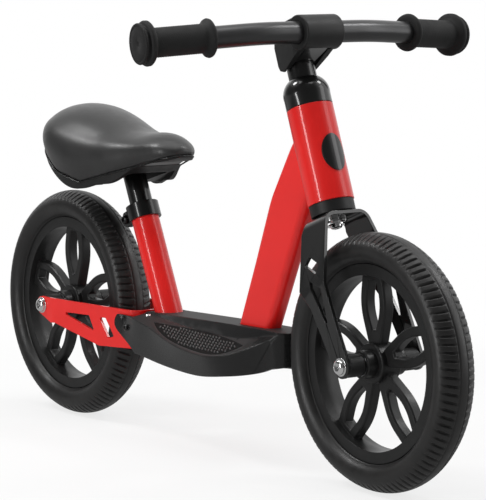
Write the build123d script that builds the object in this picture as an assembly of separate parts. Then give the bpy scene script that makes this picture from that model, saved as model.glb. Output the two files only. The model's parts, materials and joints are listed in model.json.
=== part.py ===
"""Child's balance bike: steel frame, steered fork, two moulded wheels, sliding saddle.

Millimetres. X points forward, Y to the rider's left, Z up. The origin lies on the
ground, midway between the two axles. Every piece is written to parts/ as its own file.
"""
import os
from math import cos, hypot, radians, sin, tan

from build123d import *

# Fits shared by all pieces
RUNNING_CLEARANCE = 0.05
FACE_GAP = 0.3
SHELL_GAP = 0.5

# Wheels
WHEEL_RADIUS = 127.0
WHEELBASE = 545.0
FRONT_WHEEL_TURN = 4.0
TYRE_HALF_WIDTH = 21.5
TYRE_SHOULDER_HALF_WIDTH = 15.0
TYRE_SHOULDER_DROP = 5.5
RIM_RADIUS = 98.0
RIM_HALF_WIDTH = 13.0
RIM_LIP_HEIGHT = 12.0
RIM_LIP_THICKNESS = 2.5
RIM_CHANNEL_DEPTH = 7.0
RIM_CHANNEL_HALF_WIDTH = 8.0
RIM_BARREL_RISE = 1.5
HUB_RADIUS = 20.0
HUB_HALF_WIDTH = 12.0
HUB_NECK_RADIUS = 14.0
HUB_NECK_HALF_WIDTH = 24.0
HUB_BORE_RADIUS = 8.0
HUB_EDGE_FILLET = 2.0
SPOKE_LOOPS = 5
SPOKE_HALF_THICKNESS = 6.0
SPOKE_ROOT_HALF_WIDTH = 9.0
SPOKE_KNEE_RADIUS = 56.0
SPOKE_KNEE_HALF_WIDTH = 20.5
SPOKE_TIP_HALF_WIDTH = 14.5
SPOKE_ARM_WIDTH = 9.0
SPOKE_WINDOW_ROOT = 32.0
SPOKE_WINDOW_TIP = 80.0
SPOKE_NOTCH_HALF_WIDTH = 2.5
SPOKE_CORNER = 3.0
SPOKE_KNEE_ROUNDING = 60.0
SPOKE_WINDOW_ROUNDING = 45.0
SPOKE_EDGE_CHAMFER = 1.5

# Axles and their hardware
AXLE_RADIUS = 4.0
BEARING_RADIUS = 11.0
BEARING_WIDTH = 7.0
SPACER_RADIUS = 7.25
SPACER_COLLAR_RADIUS = 11.0
SPACER_BOSS = 1.5
AXLE_BOLT_SHANK_RADIUS = 2.6
AXLE_BOLT_SHANK_LENGTH = 14.0
AXLE_BOLT_HEAD_RADIUS = 7.5
AXLE_BOLT_HEAD_HEIGHT = 4.2
AXLE_BOLT_SOCKET_RADIUS = 4.0
AXLE_WASHER_RADIUS = 9.0
AXLE_WASHER_THICKNESS = 1.2

# Head tube and steering column
HEAD_FOOT_X = 195.6
HEAD_FOOT_Z = 276.2
HEAD_ANGLE = 69.2
HEAD_LENGTH = 98.6
HEAD_RADIUS = 23.4
HEAD_BORE_RADIUS = 19.0
COLUMN_RADIUS = 14.2
COLUMN_WALL = 2.0
COLUMN_FLANGE_RADIUS = 18.0
COLUMN_FLANGE_THICKNESS = 5.0
COLUMN_OVER_BAR = 3.8
COLUMN_CAP_DEPTH = 10.0
COLUMN_CAP_RIM = 1.5
CUP_HEIGHT = 12.0
CUP_RADIUS = 22.5
BUSH_DEPTH = 14.0
BUSH_FLANGE_RADIUS = 20.0
BUSH_FLANGE_THICKNESS = 4.0
LOCK_COLLAR_RADIUS = 17.5
LOCK_COLLAR_HEIGHT = 10.0
DOME_HEIGHT = 29.5
DOME_SKIRT = 11.0
DOME_WALL = 2.4
BADGE_HALF_WIDTH = 13.0
BADGE_HALF_HEIGHT = 19.0
BADGE_THICKNESS = 1.0
BADGE_CENTRE = 46.0

# Fork, one bent strip of steel
FORK_STRIP = 4.0
FORK_HALF_DEPTH = 20.0
FORK_SHOULDER_HALF_WIDTH = 25.5
FORK_LEG_OUTER = 47.5
FORK_KINK_DROP = 70.0
FORK_BEND_RADIUS = 14.0
FORK_END_RADIUS = 11.5
FORK_CROWN_BACK = 13.0
FORK_SHOULDER_DROP = 14.0
FORK_THROAT_BACK = 27.0
FORK_THROAT_RISE = 65.0
FORK_SHIN_FRONT = 6.5
FORK_SHIN_RISE = 40.0
FORK_SMALL_WINDOW = ((-5.0, 31.0), (11.0, 20.0), (7.0, 11.0), (-12.5, 24.0))
FORK_LONG_WINDOW_TOP = ((-4.0, 7.4), (14.5, -4.8))
FORK_LONG_WINDOW_BACK = 6.0
FORK_LONG_WINDOW_RISE = 38.0
FORK_WINDOW_CORNER = 1.5
CROWN_BOLT_SPACING = 21.0
CROWN_BOLT_RADIUS = 2.5
CROWN_BOLT_HEAD_RADIUS = 4.3
CROWN_BOLT_HEAD_HEIGHT = 4.0
CROWN_NUT_RADIUS = 5.7
CROWN_NUT_HEIGHT = 5.5
CROWN_WASHER_RADIUS = 9.0
CROWN_WASHER_THICKNESS = 1.6
CROWN_STUD_HEAD_RADIUS = 6.0
CROWN_STUD_HEAD_HEIGHT = 3.0
CROWN_STUD_RADIUS = 4.0

# Handlebar, stem and grips
BAR_X = 170.5
BAR_Z = 443.8
BAR_RADIUS = 11.1
BAR_WALL = 1.8
BAR_STRAIGHT = 46.7
BAR_BEND_RADIUS = 245.0
BAR_BEND_ANGLE = 9.4
BAR_DROOP_ANGLE = 21.4
BAR_HALF_LENGTH = 193.5
STEM_BARREL_RADIUS = 14.5
STEM_BARREL_HALF_WIDTH = 18.0
STEM_ARM_HALF_WIDTH = 13.0
STEM_ARM_DROP = 24.0
CLAMP_SCREW_RADIUS = 3.0
CLAMP_SCREW_SPACING = 22.0
CLAMP_SCREW_LENGTH = 3.0
HOOD_RADIUS = 17.5
HOOD_HALF_WIDTH = 23.0
HOOD_REAR_HALF_WIDTH = 17.0
HOOD_LENGTH = 46.0
HOOD_REAR_RISE = 4.0
HOOD_WALL = 2.0
HOOD_EDGE_FILLET = 1.5
HOOD_MOUTH = 8.0
HOOD_CHEEK = ((-38.0, -35.5), (-34.0, -39.5), (-27.0, -40.0), (-23.0, -37.0))
GRIP_RADIUS = 14.0
GRIP_START = 122.0
GRIP_INNER_FLANGE_RADIUS = 19.0
GRIP_INNER_FLANGE_WIDTH = 5.0
GRIP_OUTER_FLANGE_RADIUS = 22.0
GRIP_OUTER_FLANGE_WIDTH = 5.5
GRIP_GROOVE_RADIUS = 17.0
GRIP_GROOVE_WIDTH = 2.0
GRIP_END_RADIUS = 20.0
GRIP_END_WIDTH = 4.0
GRIP_DIMPLE_RADIUS = 6.0
PLUG_LENGTH = 18.0

# Frame tubes
MAIN_TUBE_HALF_WIDTH = 10.0
MAIN_TUBE_CORNER = 8.0
MAIN_TUBE_WALL = 1.6
MAIN_TUBE_FOOT_DEPTH = 54.8
MAIN_TUBE_FOOT_OVERHANG = 3.0
MAIN_TUBE_FRONT_RISE = 42.4
MAIN_TUBE_FRONT_BACK = 8.4
MAIN_TUBE_KNEE_RADIUS = 120.0
MAIN_TUBE_REAR = ((117.2, -67.5), (91.0, -1.0), (56.8, 55.0), (36.0, 80.0))
BEAM_HALF_WIDTH = 18.0
BEAM_TOP = 122.0
BEAM_BOTTOM = 97.0
BEAM_FRONT = 94.0
BEAM_REAR = -108.0
BEAM_WALL = 2.0
SEAT_FOOT_X = -88.1
SEAT_FOOT_Z = 132.3
SEAT_ANGLE = 65.4
SEAT_TUBE_RADIUS = 15.0
SEAT_TUBE_WALL = 1.6
SEAT_TUBE_TOP = 124.0
SLEEVE_LENGTH = 70.0

# Rear yoke, one bent sheet
YOKE_SHEET = 3.0
YOKE_END_OUTER = 48.0
YOKE_FRONT_OUTER = 34.0
YOKE_FRONT_X = -122.0
YOKE_BEND_RADIUS = 13.0
YOKE_TOP = 137.0
YOKE_END_RADIUS = 10.5
YOKE_HEEL = (-169.0, 92.6)
YOKE_TOE = ((-247.0, 109.5), (-255.0, 109.0))
YOKE_END_BACK = 4.5
YOKE_TRIANGLE = ((-236.0, 123.5), (-186.0, 124.5), (-177.0, 107.5))
YOKE_SLOT = ((-168.5, 124.0), (-157.5, 124.5), (-143.0, 105.5), (-153.5, 103.0))
YOKE_WINDOW_CORNER = 1.5

# Seat clamp, post and saddle
CLAMP_RADIUS = 18.0
CLAMP_FOOT = 110.4
CLAMP_LIP = 3.4
CLAMP_LIP_GAP = 0.7
CLAMP_SLOT = 3.0
CLAMP_EAR_REACH = 30.0
CLAMP_EAR_THICKNESS = 7.0
CLAMP_EAR_FILLET = 5.0
CLAMP_BOLT_RADIUS = 3.0
CLAMP_BOLT_REACH = 24.0
CLAMP_BOLT_HEAD_RADIUS = 5.0
CLAMP_BOLT_HEAD_HEIGHT = 4.5
POST_RADIUS = 12.5
POST_WALL = 2.0
POST_FOOT = 30.0
POST_CAP_LENGTH = 8.0
BRACKET_Z = 296.0
BRACKET_THICKNESS = 3.0
BRACKET_HALF_LENGTH = 34.0
BRACKET_HALF_WIDTH = 20.0
BRACKET_CORNER = 6.0
BRACKET_SOCKET_WALL = 3.5
BRACKET_SOCKET_DEPTH = 16.0
SADDLE_PAN_WALL = 4.0
SADDLE_PAN_HALF_WIDTH = 29.0
SADDLE_PAN_HALF_LENGTH = 42.0
SADDLE_SKIRT_WALL = 5.0
SADDLE_PAN_CORNER = 10.0
SADDLE_SHOULDER_BULGE = 0.13
SADDLE_X = -160.0
SADDLE_Z = 300.0
# Saddle sections: place, foot width and height, flank width and height, shoulder, crown
SADDLE_STATIONS = (
    (102.0, 6.0, 5.0, 8.0, 9.0, 6.0, 12.0, 14.0),
    (97.0, 13.0, 3.0, 16.0, 8.0, 12.5, 14.0, 19.0),
    (86.0, 20.0, 0.0, 24.0, 7.5, 19.0, 18.0, 25.5),
    (66.0, 26.0, -3.0, 30.0, 6.0, 24.0, 20.0, 29.5),
    (40.0, 34.5, -14.5, 37.5, 0.0, 30.0, 18.5, 28.0),
    (0.0, 47.0, -29.0, 50.0, -10.0, 40.0, 20.5, 36.0),
    (-25.0, 54.0, -35.0, 57.0, -15.0, 46.0, 23.5, 45.0),
    (-60.0, 58.5, -25.0, 62.5, -4.0, 50.5, 31.5, 53.0),
    (-90.0, 53.5, -6.0, 58.0, 11.0, 48.0, 36.5, 53.5),
    (-110.0, 38.0, 7.0, 41.0, 18.0, 33.5, 37.0, 48.0),
    (-120.0, 18.0, 14.0, 21.0, 22.0, 17.0, 33.0, 38.0),
)
SADDLE_SEAM = ((110.0, 9.0), (-22.0, -28.0), (-62.0, -17.5), (-92.0, 1.5), (-130.0, 19.0))
SADDLE_BOLT_RADIUS = 2.5
SADDLE_BOLT_HEAD_RADIUS = 5.0
SADDLE_BOLT_HEAD_HEIGHT = 3.5

# Footboard
BOARD_WALL = 4.0
BOARD_RIDGE_HALF_WIDTH = 18.0
BOARD_NOSE_SEAM_FOOT = 95.5
BOARD_NOSE_SEAM_TOP = 135.0
# Footboard sections: place, foot half width and height, lip half width and height, ridge height
BOARD_STATIONS = (
    (-139.0, 39.0, 95.0, 41.0, 131.0, 135.0),
    (-100.0, 39.0, 93.0, 41.0, 131.0, 136.0),
    (-68.0, 41.0, 90.5, 44.5, 127.0, 137.0),
    (-35.0, 43.5, 88.0, 49.5, 120.5, 138.0),
    (0.0, 45.5, 86.5, 55.0, 115.0, 139.0),
    (40.0, 47.0, 87.0, 58.0, 112.0, 140.0),
    (70.0, 45.0, 90.5, 56.5, 112.5, 140.5),
    (100.0, 31.5, 95.0, 40.0, 121.0, 141.0),
    (118.0, 23.5, 100.5, 27.5, 130.0, 141.0),
    (139.0, 18.0, 105.0, 20.0, 135.0, 140.0),
)
BOARD_DISH_SHARE = 0.18
BOARD_DISH_DROP = 0.42
BOARD_RIB_PLACES = (-50.0, 20.0)
BOARD_RIB_LENGTH = 8.0
BOARD_POCKET_HALF_WIDTH = 36.4
BOARD_POCKET_GAP = 3.0
BOARD_CHEEK_END = ((-99.0, 92.0), (-122.0, 106.5), (-137.0, 121.0), (-134.0, 131.0), (-124.0, 137.0))
BOARD_CHEEK_SEAT = 38.4
BOARD_CHEEK_SCREW_X = -116.0
BOARD_CHEEK_SCREW_Z = 119.0
BOARD_TOP_SCREW_X = -94.0
BOARD_TOP_SCREW_Y = 24.0
BOARD_TOP_SCREW_SEAT = 132.6
BOARD_SCREW_HEAD_RADIUS = 3.5
BOARD_SCREW_HEAD_HEIGHT = 2.2
BOARD_SCREW_RADIUS = 1.8
BOARD_SCREW_LENGTH = 8.0
TREAD_REAR_X = -68.0
TREAD_FRONT_X = 94.0
TREAD_TIP_Y = 34.0
TREAD_LIP_GAP = 3.2
TREAD_INNER_Y = 25.0
TREAD_DEPTH = 1.6
TREAD_FLOOR_Z = 112.5
TREAD_EDGE_GAP = 0.3

# Places worked out from the sizes above
AXLE_Z = WHEEL_RADIUS
FRONT_AXLE_X = WHEELBASE / 2
REAR_AXLE_X = -WHEELBASE / 2
FORK_LEG_INNER = FORK_LEG_OUTER - FORK_STRIP
YOKE_END_INNER = YOKE_END_OUTER - YOKE_SHEET
CROWN_TOP = -CUP_HEIGHT - FACE_GAP
CROWN_UNDER = CROWN_TOP - FORK_STRIP
SEAT_BORE_RADIUS = SEAT_TUBE_RADIUS - SEAT_TUBE_WALL
CLAMP_TOP = SEAT_TUBE_TOP + CLAMP_LIP
REACH = WHEELBASE

STEERING = Plane(
    origin=(HEAD_FOOT_X, 0, HEAD_FOOT_Z),
    x_dir=(sin(radians(HEAD_ANGLE)), 0, cos(radians(HEAD_ANGLE))),
    z_dir=(-cos(radians(HEAD_ANGLE)), 0, sin(radians(HEAD_ANGLE))),
)
SEATING = Plane(
    origin=(SEAT_FOOT_X, 0, SEAT_FOOT_Z),
    x_dir=(sin(radians(SEAT_ANGLE)), 0, cos(radians(SEAT_ANGLE))),
    z_dir=(-cos(radians(SEAT_ANGLE)), 0, sin(radians(SEAT_ANGLE))),
)


def in_steering(x, z):
    """Forward and upward places in the steering frame of a point in the bike's own side view."""
    local = STEERING.to_local_coords(Vector(x, 0, z))
    return local.X, local.Z


COLUMN_TOP = in_steering(BAR_X, BAR_Z)[1] + COLUMN_OVER_BAR


# Shared shape makers
def outline(points):
    return make_face(Polyline(*points, close=True))


def turned(points):
    """Solid of revolution about Z from (radius, height) points."""
    return revolve(Plane.XZ * outline(points), Axis.Z)


def rod(radius, start, end):
    align = (Align.CENTER, Align.CENTER, Align.MIN)
    return Pos(0, 0, start) * Cylinder(radius, end - start, align=align)


def pipe(radius, bore, start, end):
    return rod(radius, start, end) - rod(bore, start, end)


def hexagon(radius, start, end):
    return Pos(0, 0, start) * extrude(RegularPolygon(radius, 6), end - start)


def across(x, z, shape):
    """Turn a shape built along Z so that it lies across the bike, its +Z towards the right."""
    return Pos(x, 0, z) * Rot(90, 0, 0) * shape


def both_sides(shape):
    return Part() + [shape, mirror(shape, about=Plane.XZ)]


def slab(points, half_width, corner=0.0):
    """Side-view outline carried across the bike."""
    face = outline(points)
    if corner:
        face = fillet(face.vertices(), corner)
    return extrude(Plane.XZ * face, half_width, both=True)


def shifted_path(points, distance):
    """Open path moved sideways by a distance, with mitred corners."""
    lines = []
    for (x0, y0), (x1, y1) in zip(points, points[1:]):
        length = hypot(x1 - x0, y1 - y0)
        normal = (-(y1 - y0) / length, (x1 - x0) / length)
        lines.append((x0 + normal[0] * distance, y0 + normal[1] * distance, x1 - x0, y1 - y0))
    moved = [(lines[0][0], lines[0][1])]
    for (ax, ay, adx, ady), (bx, by, bdx, bdy) in zip(lines, lines[1:]):
        share = ((bx - ax) * bdy - (by - ay) * bdx) / (adx * bdy - ady * bdx)
        moved.append((ax + adx * share, ay + ady * share))
    moved.append((lines[-1][0] + lines[-1][2], lines[-1][1] + lines[-1][3]))
    return moved


def bent_strip(half_path, thickness, bend_vertex, bend_radius):
    """Face of a bent strip, mirrored about its second axis, with one rounded bend a side.

    The half path starts on the mirror line; the strip's thickness lies to its right.
    """
    inner = shifted_path(half_path, -thickness)
    mirrored = [(-x, y) for x, y in reversed(half_path[1:])]
    mirrored_inner = [(-x, y) for x, y in inner[1:]]
    face = outline(mirrored + half_path + list(reversed(inner)) + mirrored_inner)
    for path, radius in ((half_path, bend_radius), (inner, bend_radius - thickness)):
        x, y = path[bend_vertex]
        corners = [v for v in face.vertices() if abs(abs(v.X) - x) < 0.01 and abs(v.Y - y) < 0.01]
        face = fillet(corners, radius)
    return face


# Wheels
def wheel_core():
    bore = RIM_RADIUS - RIM_LIP_HEIGHT
    channel = RIM_RADIUS - RIM_CHANNEL_DEPTH
    lip_foot = RIM_HALF_WIDTH - RIM_LIP_THICKNESS
    rim = turned([
        (bore, -RIM_HALF_WIDTH), (RIM_RADIUS, -RIM_HALF_WIDTH), (RIM_RADIUS, -lip_foot),
        (channel, -RIM_CHANNEL_HALF_WIDTH), (channel, RIM_CHANNEL_HALF_WIDTH),
        (RIM_RADIUS, lip_foot), (RIM_RADIUS, RIM_HALF_WIDTH), (bore, RIM_HALF_WIDTH),
        (bore - RIM_BARREL_RISE, 0),
    ])
    hub = fillet(rod(HUB_RADIUS, -HUB_HALF_WIDTH, HUB_HALF_WIDTH).edges(), HUB_EDGE_FILLET)
    neck = rod(HUB_NECK_RADIUS, -HUB_NECK_HALF_WIDTH, HUB_NECK_HALF_WIDTH)
    neck = chamfer(neck.edges(), HUB_EDGE_FILLET / 2)
    core = rim + hub + neck
    for loop in range(SPOKE_LOOPS):
        core += Rot(0, 0, 90 + loop * 360 / SPOKE_LOOPS) * spoke_loop(bore)
    seat = rod(BEARING_RADIUS, HUB_NECK_HALF_WIDTH - BEARING_WIDTH, HUB_NECK_HALF_WIDTH)
    core -= seat + mirror(seat, about=Plane.XY)
    return core - rod(HUB_BORE_RADIUS, -HUB_NECK_HALF_WIDTH, HUB_NECK_HALF_WIDTH)


def spoke_loop(rim_bore):
    """One spoke loop along +X: two curved arms that part at the hub and close in at the rim."""
    root = HUB_RADIUS - HUB_EDGE_FILLET
    tip = rim_bore + RIM_BARREL_RISE
    outer = [(root, SPOKE_ROOT_HALF_WIDTH), (SPOKE_KNEE_RADIUS, SPOKE_KNEE_HALF_WIDTH),
             (tip, SPOKE_TIP_HALF_WIDTH)]
    outer = curved_loop(outer, SPOKE_KNEE_ROUNDING, SPOKE_CORNER)
    window = [(SPOKE_WINDOW_ROOT, SPOKE_NOTCH_HALF_WIDTH),
              (SPOKE_KNEE_RADIUS, SPOKE_KNEE_HALF_WIDTH - SPOKE_ARM_WIDTH),
              (SPOKE_WINDOW_TIP, SPOKE_TIP_HALF_WIDTH - SPOKE_ARM_WIDTH)]
    window = curved_loop(window, SPOKE_WINDOW_ROUNDING, SPOKE_NOTCH_HALF_WIDTH / 2)
    loop = extrude(outer - window, SPOKE_HALF_THICKNESS, both=True)
    layers = loop.edges().group_by(Axis.Z)
    return chamfer(layers[0] + layers[-1], SPOKE_EDGE_CHAMFER)


def mirrored_outline(points):
    return outline(points + [(x, -y) for x, y in reversed(points)])


def curved_loop(points, knee_rounding, corner):
    """Outline of three points and their mirror images, its two knees rounded widely."""
    first, knee, last = [x for x, y in points]
    face = mirrored_outline(points)
    face = fillet([v for v in face.vertices() if abs(v.X - knee) < 0.01], knee_rounding)
    ends = [v for v in face.vertices() if min(abs(v.X - first), abs(v.X - last)) < 0.01]
    return fillet(ends, corner)


def tyre():
    channel = RIM_RADIUS - RIM_CHANNEL_DEPTH
    lip_foot = RIM_HALF_WIDTH - RIM_LIP_THICKNESS
    flank = (RIM_RADIUS + WHEEL_RADIUS) / 2
    shoulder = WHEEL_RADIUS - TYRE_SHOULDER_DROP
    section = make_face([
        Polyline((RIM_RADIUS, -RIM_HALF_WIDTH), (RIM_RADIUS, -lip_foot),
                 (channel, -RIM_CHANNEL_HALF_WIDTH), (channel, RIM_CHANNEL_HALF_WIDTH),
                 (RIM_RADIUS, lip_foot), (RIM_RADIUS, RIM_HALF_WIDTH)),
        ThreePointArc((RIM_RADIUS, RIM_HALF_WIDTH), (flank, TYRE_HALF_WIDTH),
                      (shoulder, TYRE_SHOULDER_HALF_WIDTH)),
        ThreePointArc((shoulder, TYRE_SHOULDER_HALF_WIDTH), (WHEEL_RADIUS, 0),
                      (shoulder, -TYRE_SHOULDER_HALF_WIDTH)),
        ThreePointArc((shoulder, -TYRE_SHOULDER_HALF_WIDTH), (flank, -TYRE_HALF_WIDTH),
                      (RIM_RADIUS, -RIM_HALF_WIDTH)),
    ])
    return revolve(Plane.XZ * section, Axis.Z)


def hub_bearings():
    bore = AXLE_RADIUS + RUNNING_CLEARANCE
    ring = pipe(BEARING_RADIUS, bore, HUB_NECK_HALF_WIDTH - BEARING_WIDTH, HUB_NECK_HALF_WIDTH)
    return Part() + [ring, mirror(ring, about=Plane.XY)]


# Axle hardware, built along Z with the outer faces of the two legs at plus and minus outer
def axle(outer):
    shaft = rod(AXLE_RADIUS, -outer, outer)
    thread = rod(AXLE_BOLT_SHANK_RADIUS, outer - AXLE_BOLT_SHANK_LENGTH, outer)
    return shaft - thread - mirror(thread, about=Plane.XY)


def axle_spacers(inner):
    boss = HUB_NECK_HALF_WIDTH + FACE_GAP
    ring = pipe(SPACER_RADIUS, AXLE_RADIUS, boss, inner)
    ring += pipe(SPACER_COLLAR_RADIUS, AXLE_RADIUS, boss + SPACER_BOSS, inner)
    return Part() + [ring, mirror(ring, about=Plane.XY)]


def axle_washers(outer):
    ring = pipe(AXLE_WASHER_RADIUS, AXLE_BOLT_SHANK_RADIUS, outer, outer + AXLE_WASHER_THICKNESS)
    ring = chamfer(ring.edges().group_by(Axis.Z)[-1], AXLE_WASHER_THICKNESS / 4)
    return Part() + [ring, mirror(ring, about=Plane.XY)]


def button_bolt(head_radius, head_height, socket_radius, shank_radius, shank_length):
    """Domed bolt with a six-sided socket; the head stands on Z = 0 and the shank hangs below."""
    rim = head_height * 0.3
    head = revolve(Plane.XZ * make_face([
        Polyline((0, head_height), (0, 0), (head_radius, 0), (head_radius, rim)),
        ThreePointArc((head_radius, rim), (head_radius * 0.86, head_height * 0.76),
                      (head_radius * 0.5, head_height)),
        Line((head_radius * 0.5, head_height), (0, head_height)),
    ]), Axis.Z)
    socket = hexagon(socket_radius, head_height * 0.4, head_height)
    return head + rod(shank_radius, -shank_length, 0) - socket


def axle_bolts(outer):
    bolt = button_bolt(AXLE_BOLT_HEAD_RADIUS, AXLE_BOLT_HEAD_HEIGHT, AXLE_BOLT_SOCKET_RADIUS,
                       AXLE_BOLT_SHANK_RADIUS, AXLE_BOLT_SHANK_LENGTH)
    bolt = Pos(0, 0, outer + AXLE_WASHER_THICKNESS) * bolt
    return Part() + [bolt, mirror(bolt, about=Plane.XY)]


# Steering
def head_tube():
    return STEERING.location * pipe(HEAD_RADIUS, HEAD_BORE_RADIUS, 0, HEAD_LENGTH)


def head_badge():
    shell = pipe(HEAD_RADIUS + BADGE_THICKNESS, HEAD_RADIUS, 0, HEAD_LENGTH)
    oval = Plane.YZ * (Pos(0, BADGE_CENTRE) * Ellipse(BADGE_HALF_WIDTH, BADGE_HALF_HEIGHT))
    return STEERING.location * (shell & extrude(oval, REACH))


def lower_headset_cup():
    bore = COLUMN_RADIUS + RUNNING_CLEARANCE
    recess = COLUMN_FLANGE_RADIUS + FACE_GAP
    floor = COLUMN_FLANGE_THICKNESS - CUP_HEIGHT
    return STEERING.location * turned([
        (recess, -CUP_HEIGHT), (CUP_RADIUS, -CUP_HEIGHT), (CUP_RADIUS, 0), (HEAD_BORE_RADIUS, 0),
        (HEAD_BORE_RADIUS, BUSH_DEPTH), (bore, BUSH_DEPTH), (bore, floor), (recess, floor),
    ])


def upper_headset_bush():
    bore = COLUMN_RADIUS + RUNNING_CLEARANCE
    top = HEAD_LENGTH + BUSH_FLANGE_THICKNESS
    return STEERING.location * turned([
        (bore, HEAD_LENGTH - BUSH_DEPTH), (HEAD_BORE_RADIUS, HEAD_LENGTH - BUSH_DEPTH),
        (HEAD_BORE_RADIUS, HEAD_LENGTH), (BUSH_FLANGE_RADIUS, HEAD_LENGTH),
        (BUSH_FLANGE_RADIUS, top), (bore, top),
    ])


def steering_column():
    column = rod(COLUMN_RADIUS, CROWN_TOP, COLUMN_TOP)
    flange = rod(COLUMN_FLANGE_RADIUS, CROWN_TOP, CROWN_TOP + COLUMN_FLANGE_THICKNESS)
    hollow = rod(COLUMN_RADIUS - COLUMN_WALL, BUSH_DEPTH, COLUMN_TOP)
    stud_hole = rod(CROWN_STUD_RADIUS, CROWN_TOP, BUSH_DEPTH)
    column = column + flange - hollow - stud_hole
    for side in (-1, 1):
        hole = rod(CROWN_BOLT_RADIUS, CROWN_TOP, CROWN_TOP + COLUMN_FLANGE_THICKNESS)
        column -= Pos(0, side * CROWN_BOLT_SPACING / 2, 0) * hole
    return STEERING.location * column


def column_lock_collar():
    foot = HEAD_LENGTH + BUSH_FLANGE_THICKNESS + FACE_GAP
    return STEERING.location * pipe(LOCK_COLLAR_RADIUS, COLUMN_RADIUS, foot, foot + LOCK_COLLAR_HEIGHT)


def headset_dome():
    foot = HEAD_LENGTH + FACE_GAP
    knee = HEAD_LENGTH + DOME_SKIRT
    top = HEAD_LENGTH + DOME_HEIGHT
    outer = dome_solid(HEAD_RADIUS, foot, knee, top)
    cavity = dome_solid(HEAD_RADIUS - DOME_WALL, foot, knee, top - DOME_WALL)
    return STEERING.location * (outer - cavity - rod(COLUMN_RADIUS, foot, top))


def dome_solid(radius, foot, knee, top):
    crown_radius = COLUMN_RADIUS + DOME_WALL / 2
    shoulder = (radius * 0.85 + crown_radius * 0.15, knee + (top - knee) * 0.55)
    return revolve(Plane.XZ * make_face([
        Polyline((0, top), (0, foot), (radius, foot), (radius, knee)),
        ThreePointArc((radius, knee), shoulder, (crown_radius, top)),
        Line((crown_radius, top), (0, top)),
    ]), Axis.Z)


def fork():
    axle_t, axle_s = in_steering(FRONT_AXLE_X, AXLE_Z)
    kink = CROWN_TOP - FORK_KINK_DROP
    foot = axle_s - FORK_END_RADIUS
    path = [(0, CROWN_TOP), (FORK_SHOULDER_HALF_WIDTH, CROWN_TOP), (FORK_LEG_OUTER, kink),
            (FORK_LEG_OUTER, foot)]
    strip = bent_strip(path, FORK_STRIP, 1, FORK_BEND_RADIUS)
    bent = extrude(Plane.YZ * strip, REACH, both=True)
    blade = fork_blade(axle_t, axle_s, kink)
    windows = fork_windows(axle_t, axle_s, kink)
    body = (bent & blade) - windows
    body -= Pos(axle_t, 0, axle_s) * Rot(90, 0, 0) * rod(AXLE_RADIUS, -REACH, REACH)
    body -= rod(CROWN_STUD_RADIUS, CROWN_UNDER, CROWN_TOP)
    for side in (-1, 1):
        body -= Pos(0, side * CROWN_BOLT_SPACING / 2, 0) * rod(CROWN_BOLT_RADIUS, CROWN_UNDER, CROWN_TOP)
    return STEERING.location * body


def fork_blade(axle_t, axle_s, kink):
    """Side view of the fork: a deep shoulder that narrows below its kink to the axle."""
    end = FORK_END_RADIUS
    side = make_face([
        Polyline((axle_t - end, axle_s), (axle_t - FORK_THROAT_BACK, axle_s + FORK_THROAT_RISE),
                 (-FORK_HALF_DEPTH, kink), (-FORK_HALF_DEPTH, CROWN_TOP - FORK_SHOULDER_DROP),
                 (-FORK_CROWN_BACK, CROWN_TOP + 1), (FORK_HALF_DEPTH, CROWN_TOP + 1),
                 (FORK_HALF_DEPTH + 1, kink), (axle_t + FORK_SHIN_FRONT, axle_s + FORK_SHIN_RISE),
                 (axle_t + end, axle_s)),
        ThreePointArc((axle_t + end, axle_s), (axle_t, axle_s - end), (axle_t - end, axle_s)),
    ])
    return extrude(Plane.XZ * side, REACH, both=True)


def fork_windows(axle_t, axle_s, kink):
    small = [(t, kink + rise) for t, rise in FORK_SMALL_WINDOW]
    long = [(t, kink + rise) for t, rise in FORK_LONG_WINDOW_TOP]
    long.append((axle_t - FORK_LONG_WINDOW_BACK, axle_s + FORK_LONG_WINDOW_RISE))
    windows = Part()
    for points in (small, long):
        face = fillet(outline(points).vertices(), FORK_WINDOW_CORNER)
        windows += extrude(Plane.XZ * face, REACH, both=True)
    return windows


def crown_bolts():
    bolt = button_bolt(CROWN_BOLT_HEAD_RADIUS, CROWN_BOLT_HEAD_HEIGHT, CROWN_BOLT_HEAD_RADIUS * 0.45,
                       CROWN_BOLT_RADIUS, FORK_STRIP + COLUMN_FLANGE_THICKNESS)
    bolt = Pos(0, CROWN_BOLT_SPACING / 2, CROWN_UNDER) * Rot(180, 0, 0) * bolt
    return STEERING.location * both_sides(bolt)


def crown_nut():
    nut = hexagon(CROWN_NUT_RADIUS, CROWN_UNDER - CROWN_NUT_HEIGHT, CROWN_UNDER)
    return STEERING.location * (nut - rod(CROWN_STUD_RADIUS, CROWN_UNDER - CROWN_NUT_HEIGHT, CROWN_UNDER))


def crown_washer():
    top = CROWN_UNDER - CROWN_NUT_HEIGHT
    return STEERING.location * pipe(CROWN_WASHER_RADIUS, CROWN_STUD_RADIUS, top - CROWN_WASHER_THICKNESS, top)


def crown_stud():
    """Centre bolt that draws the fork, its nut and its washer up against the column."""
    under = CROWN_UNDER - CROWN_NUT_HEIGHT - CROWN_WASHER_THICKNESS
    stud = button_bolt(CROWN_STUD_HEAD_RADIUS, CROWN_STUD_HEAD_HEIGHT, CROWN_STUD_HEAD_RADIUS * 0.45,
                       CROWN_STUD_RADIUS, BUSH_DEPTH - under)
    return STEERING.location * (Pos(0, 0, under) * Rot(180, 0, 0) * stud)


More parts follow.
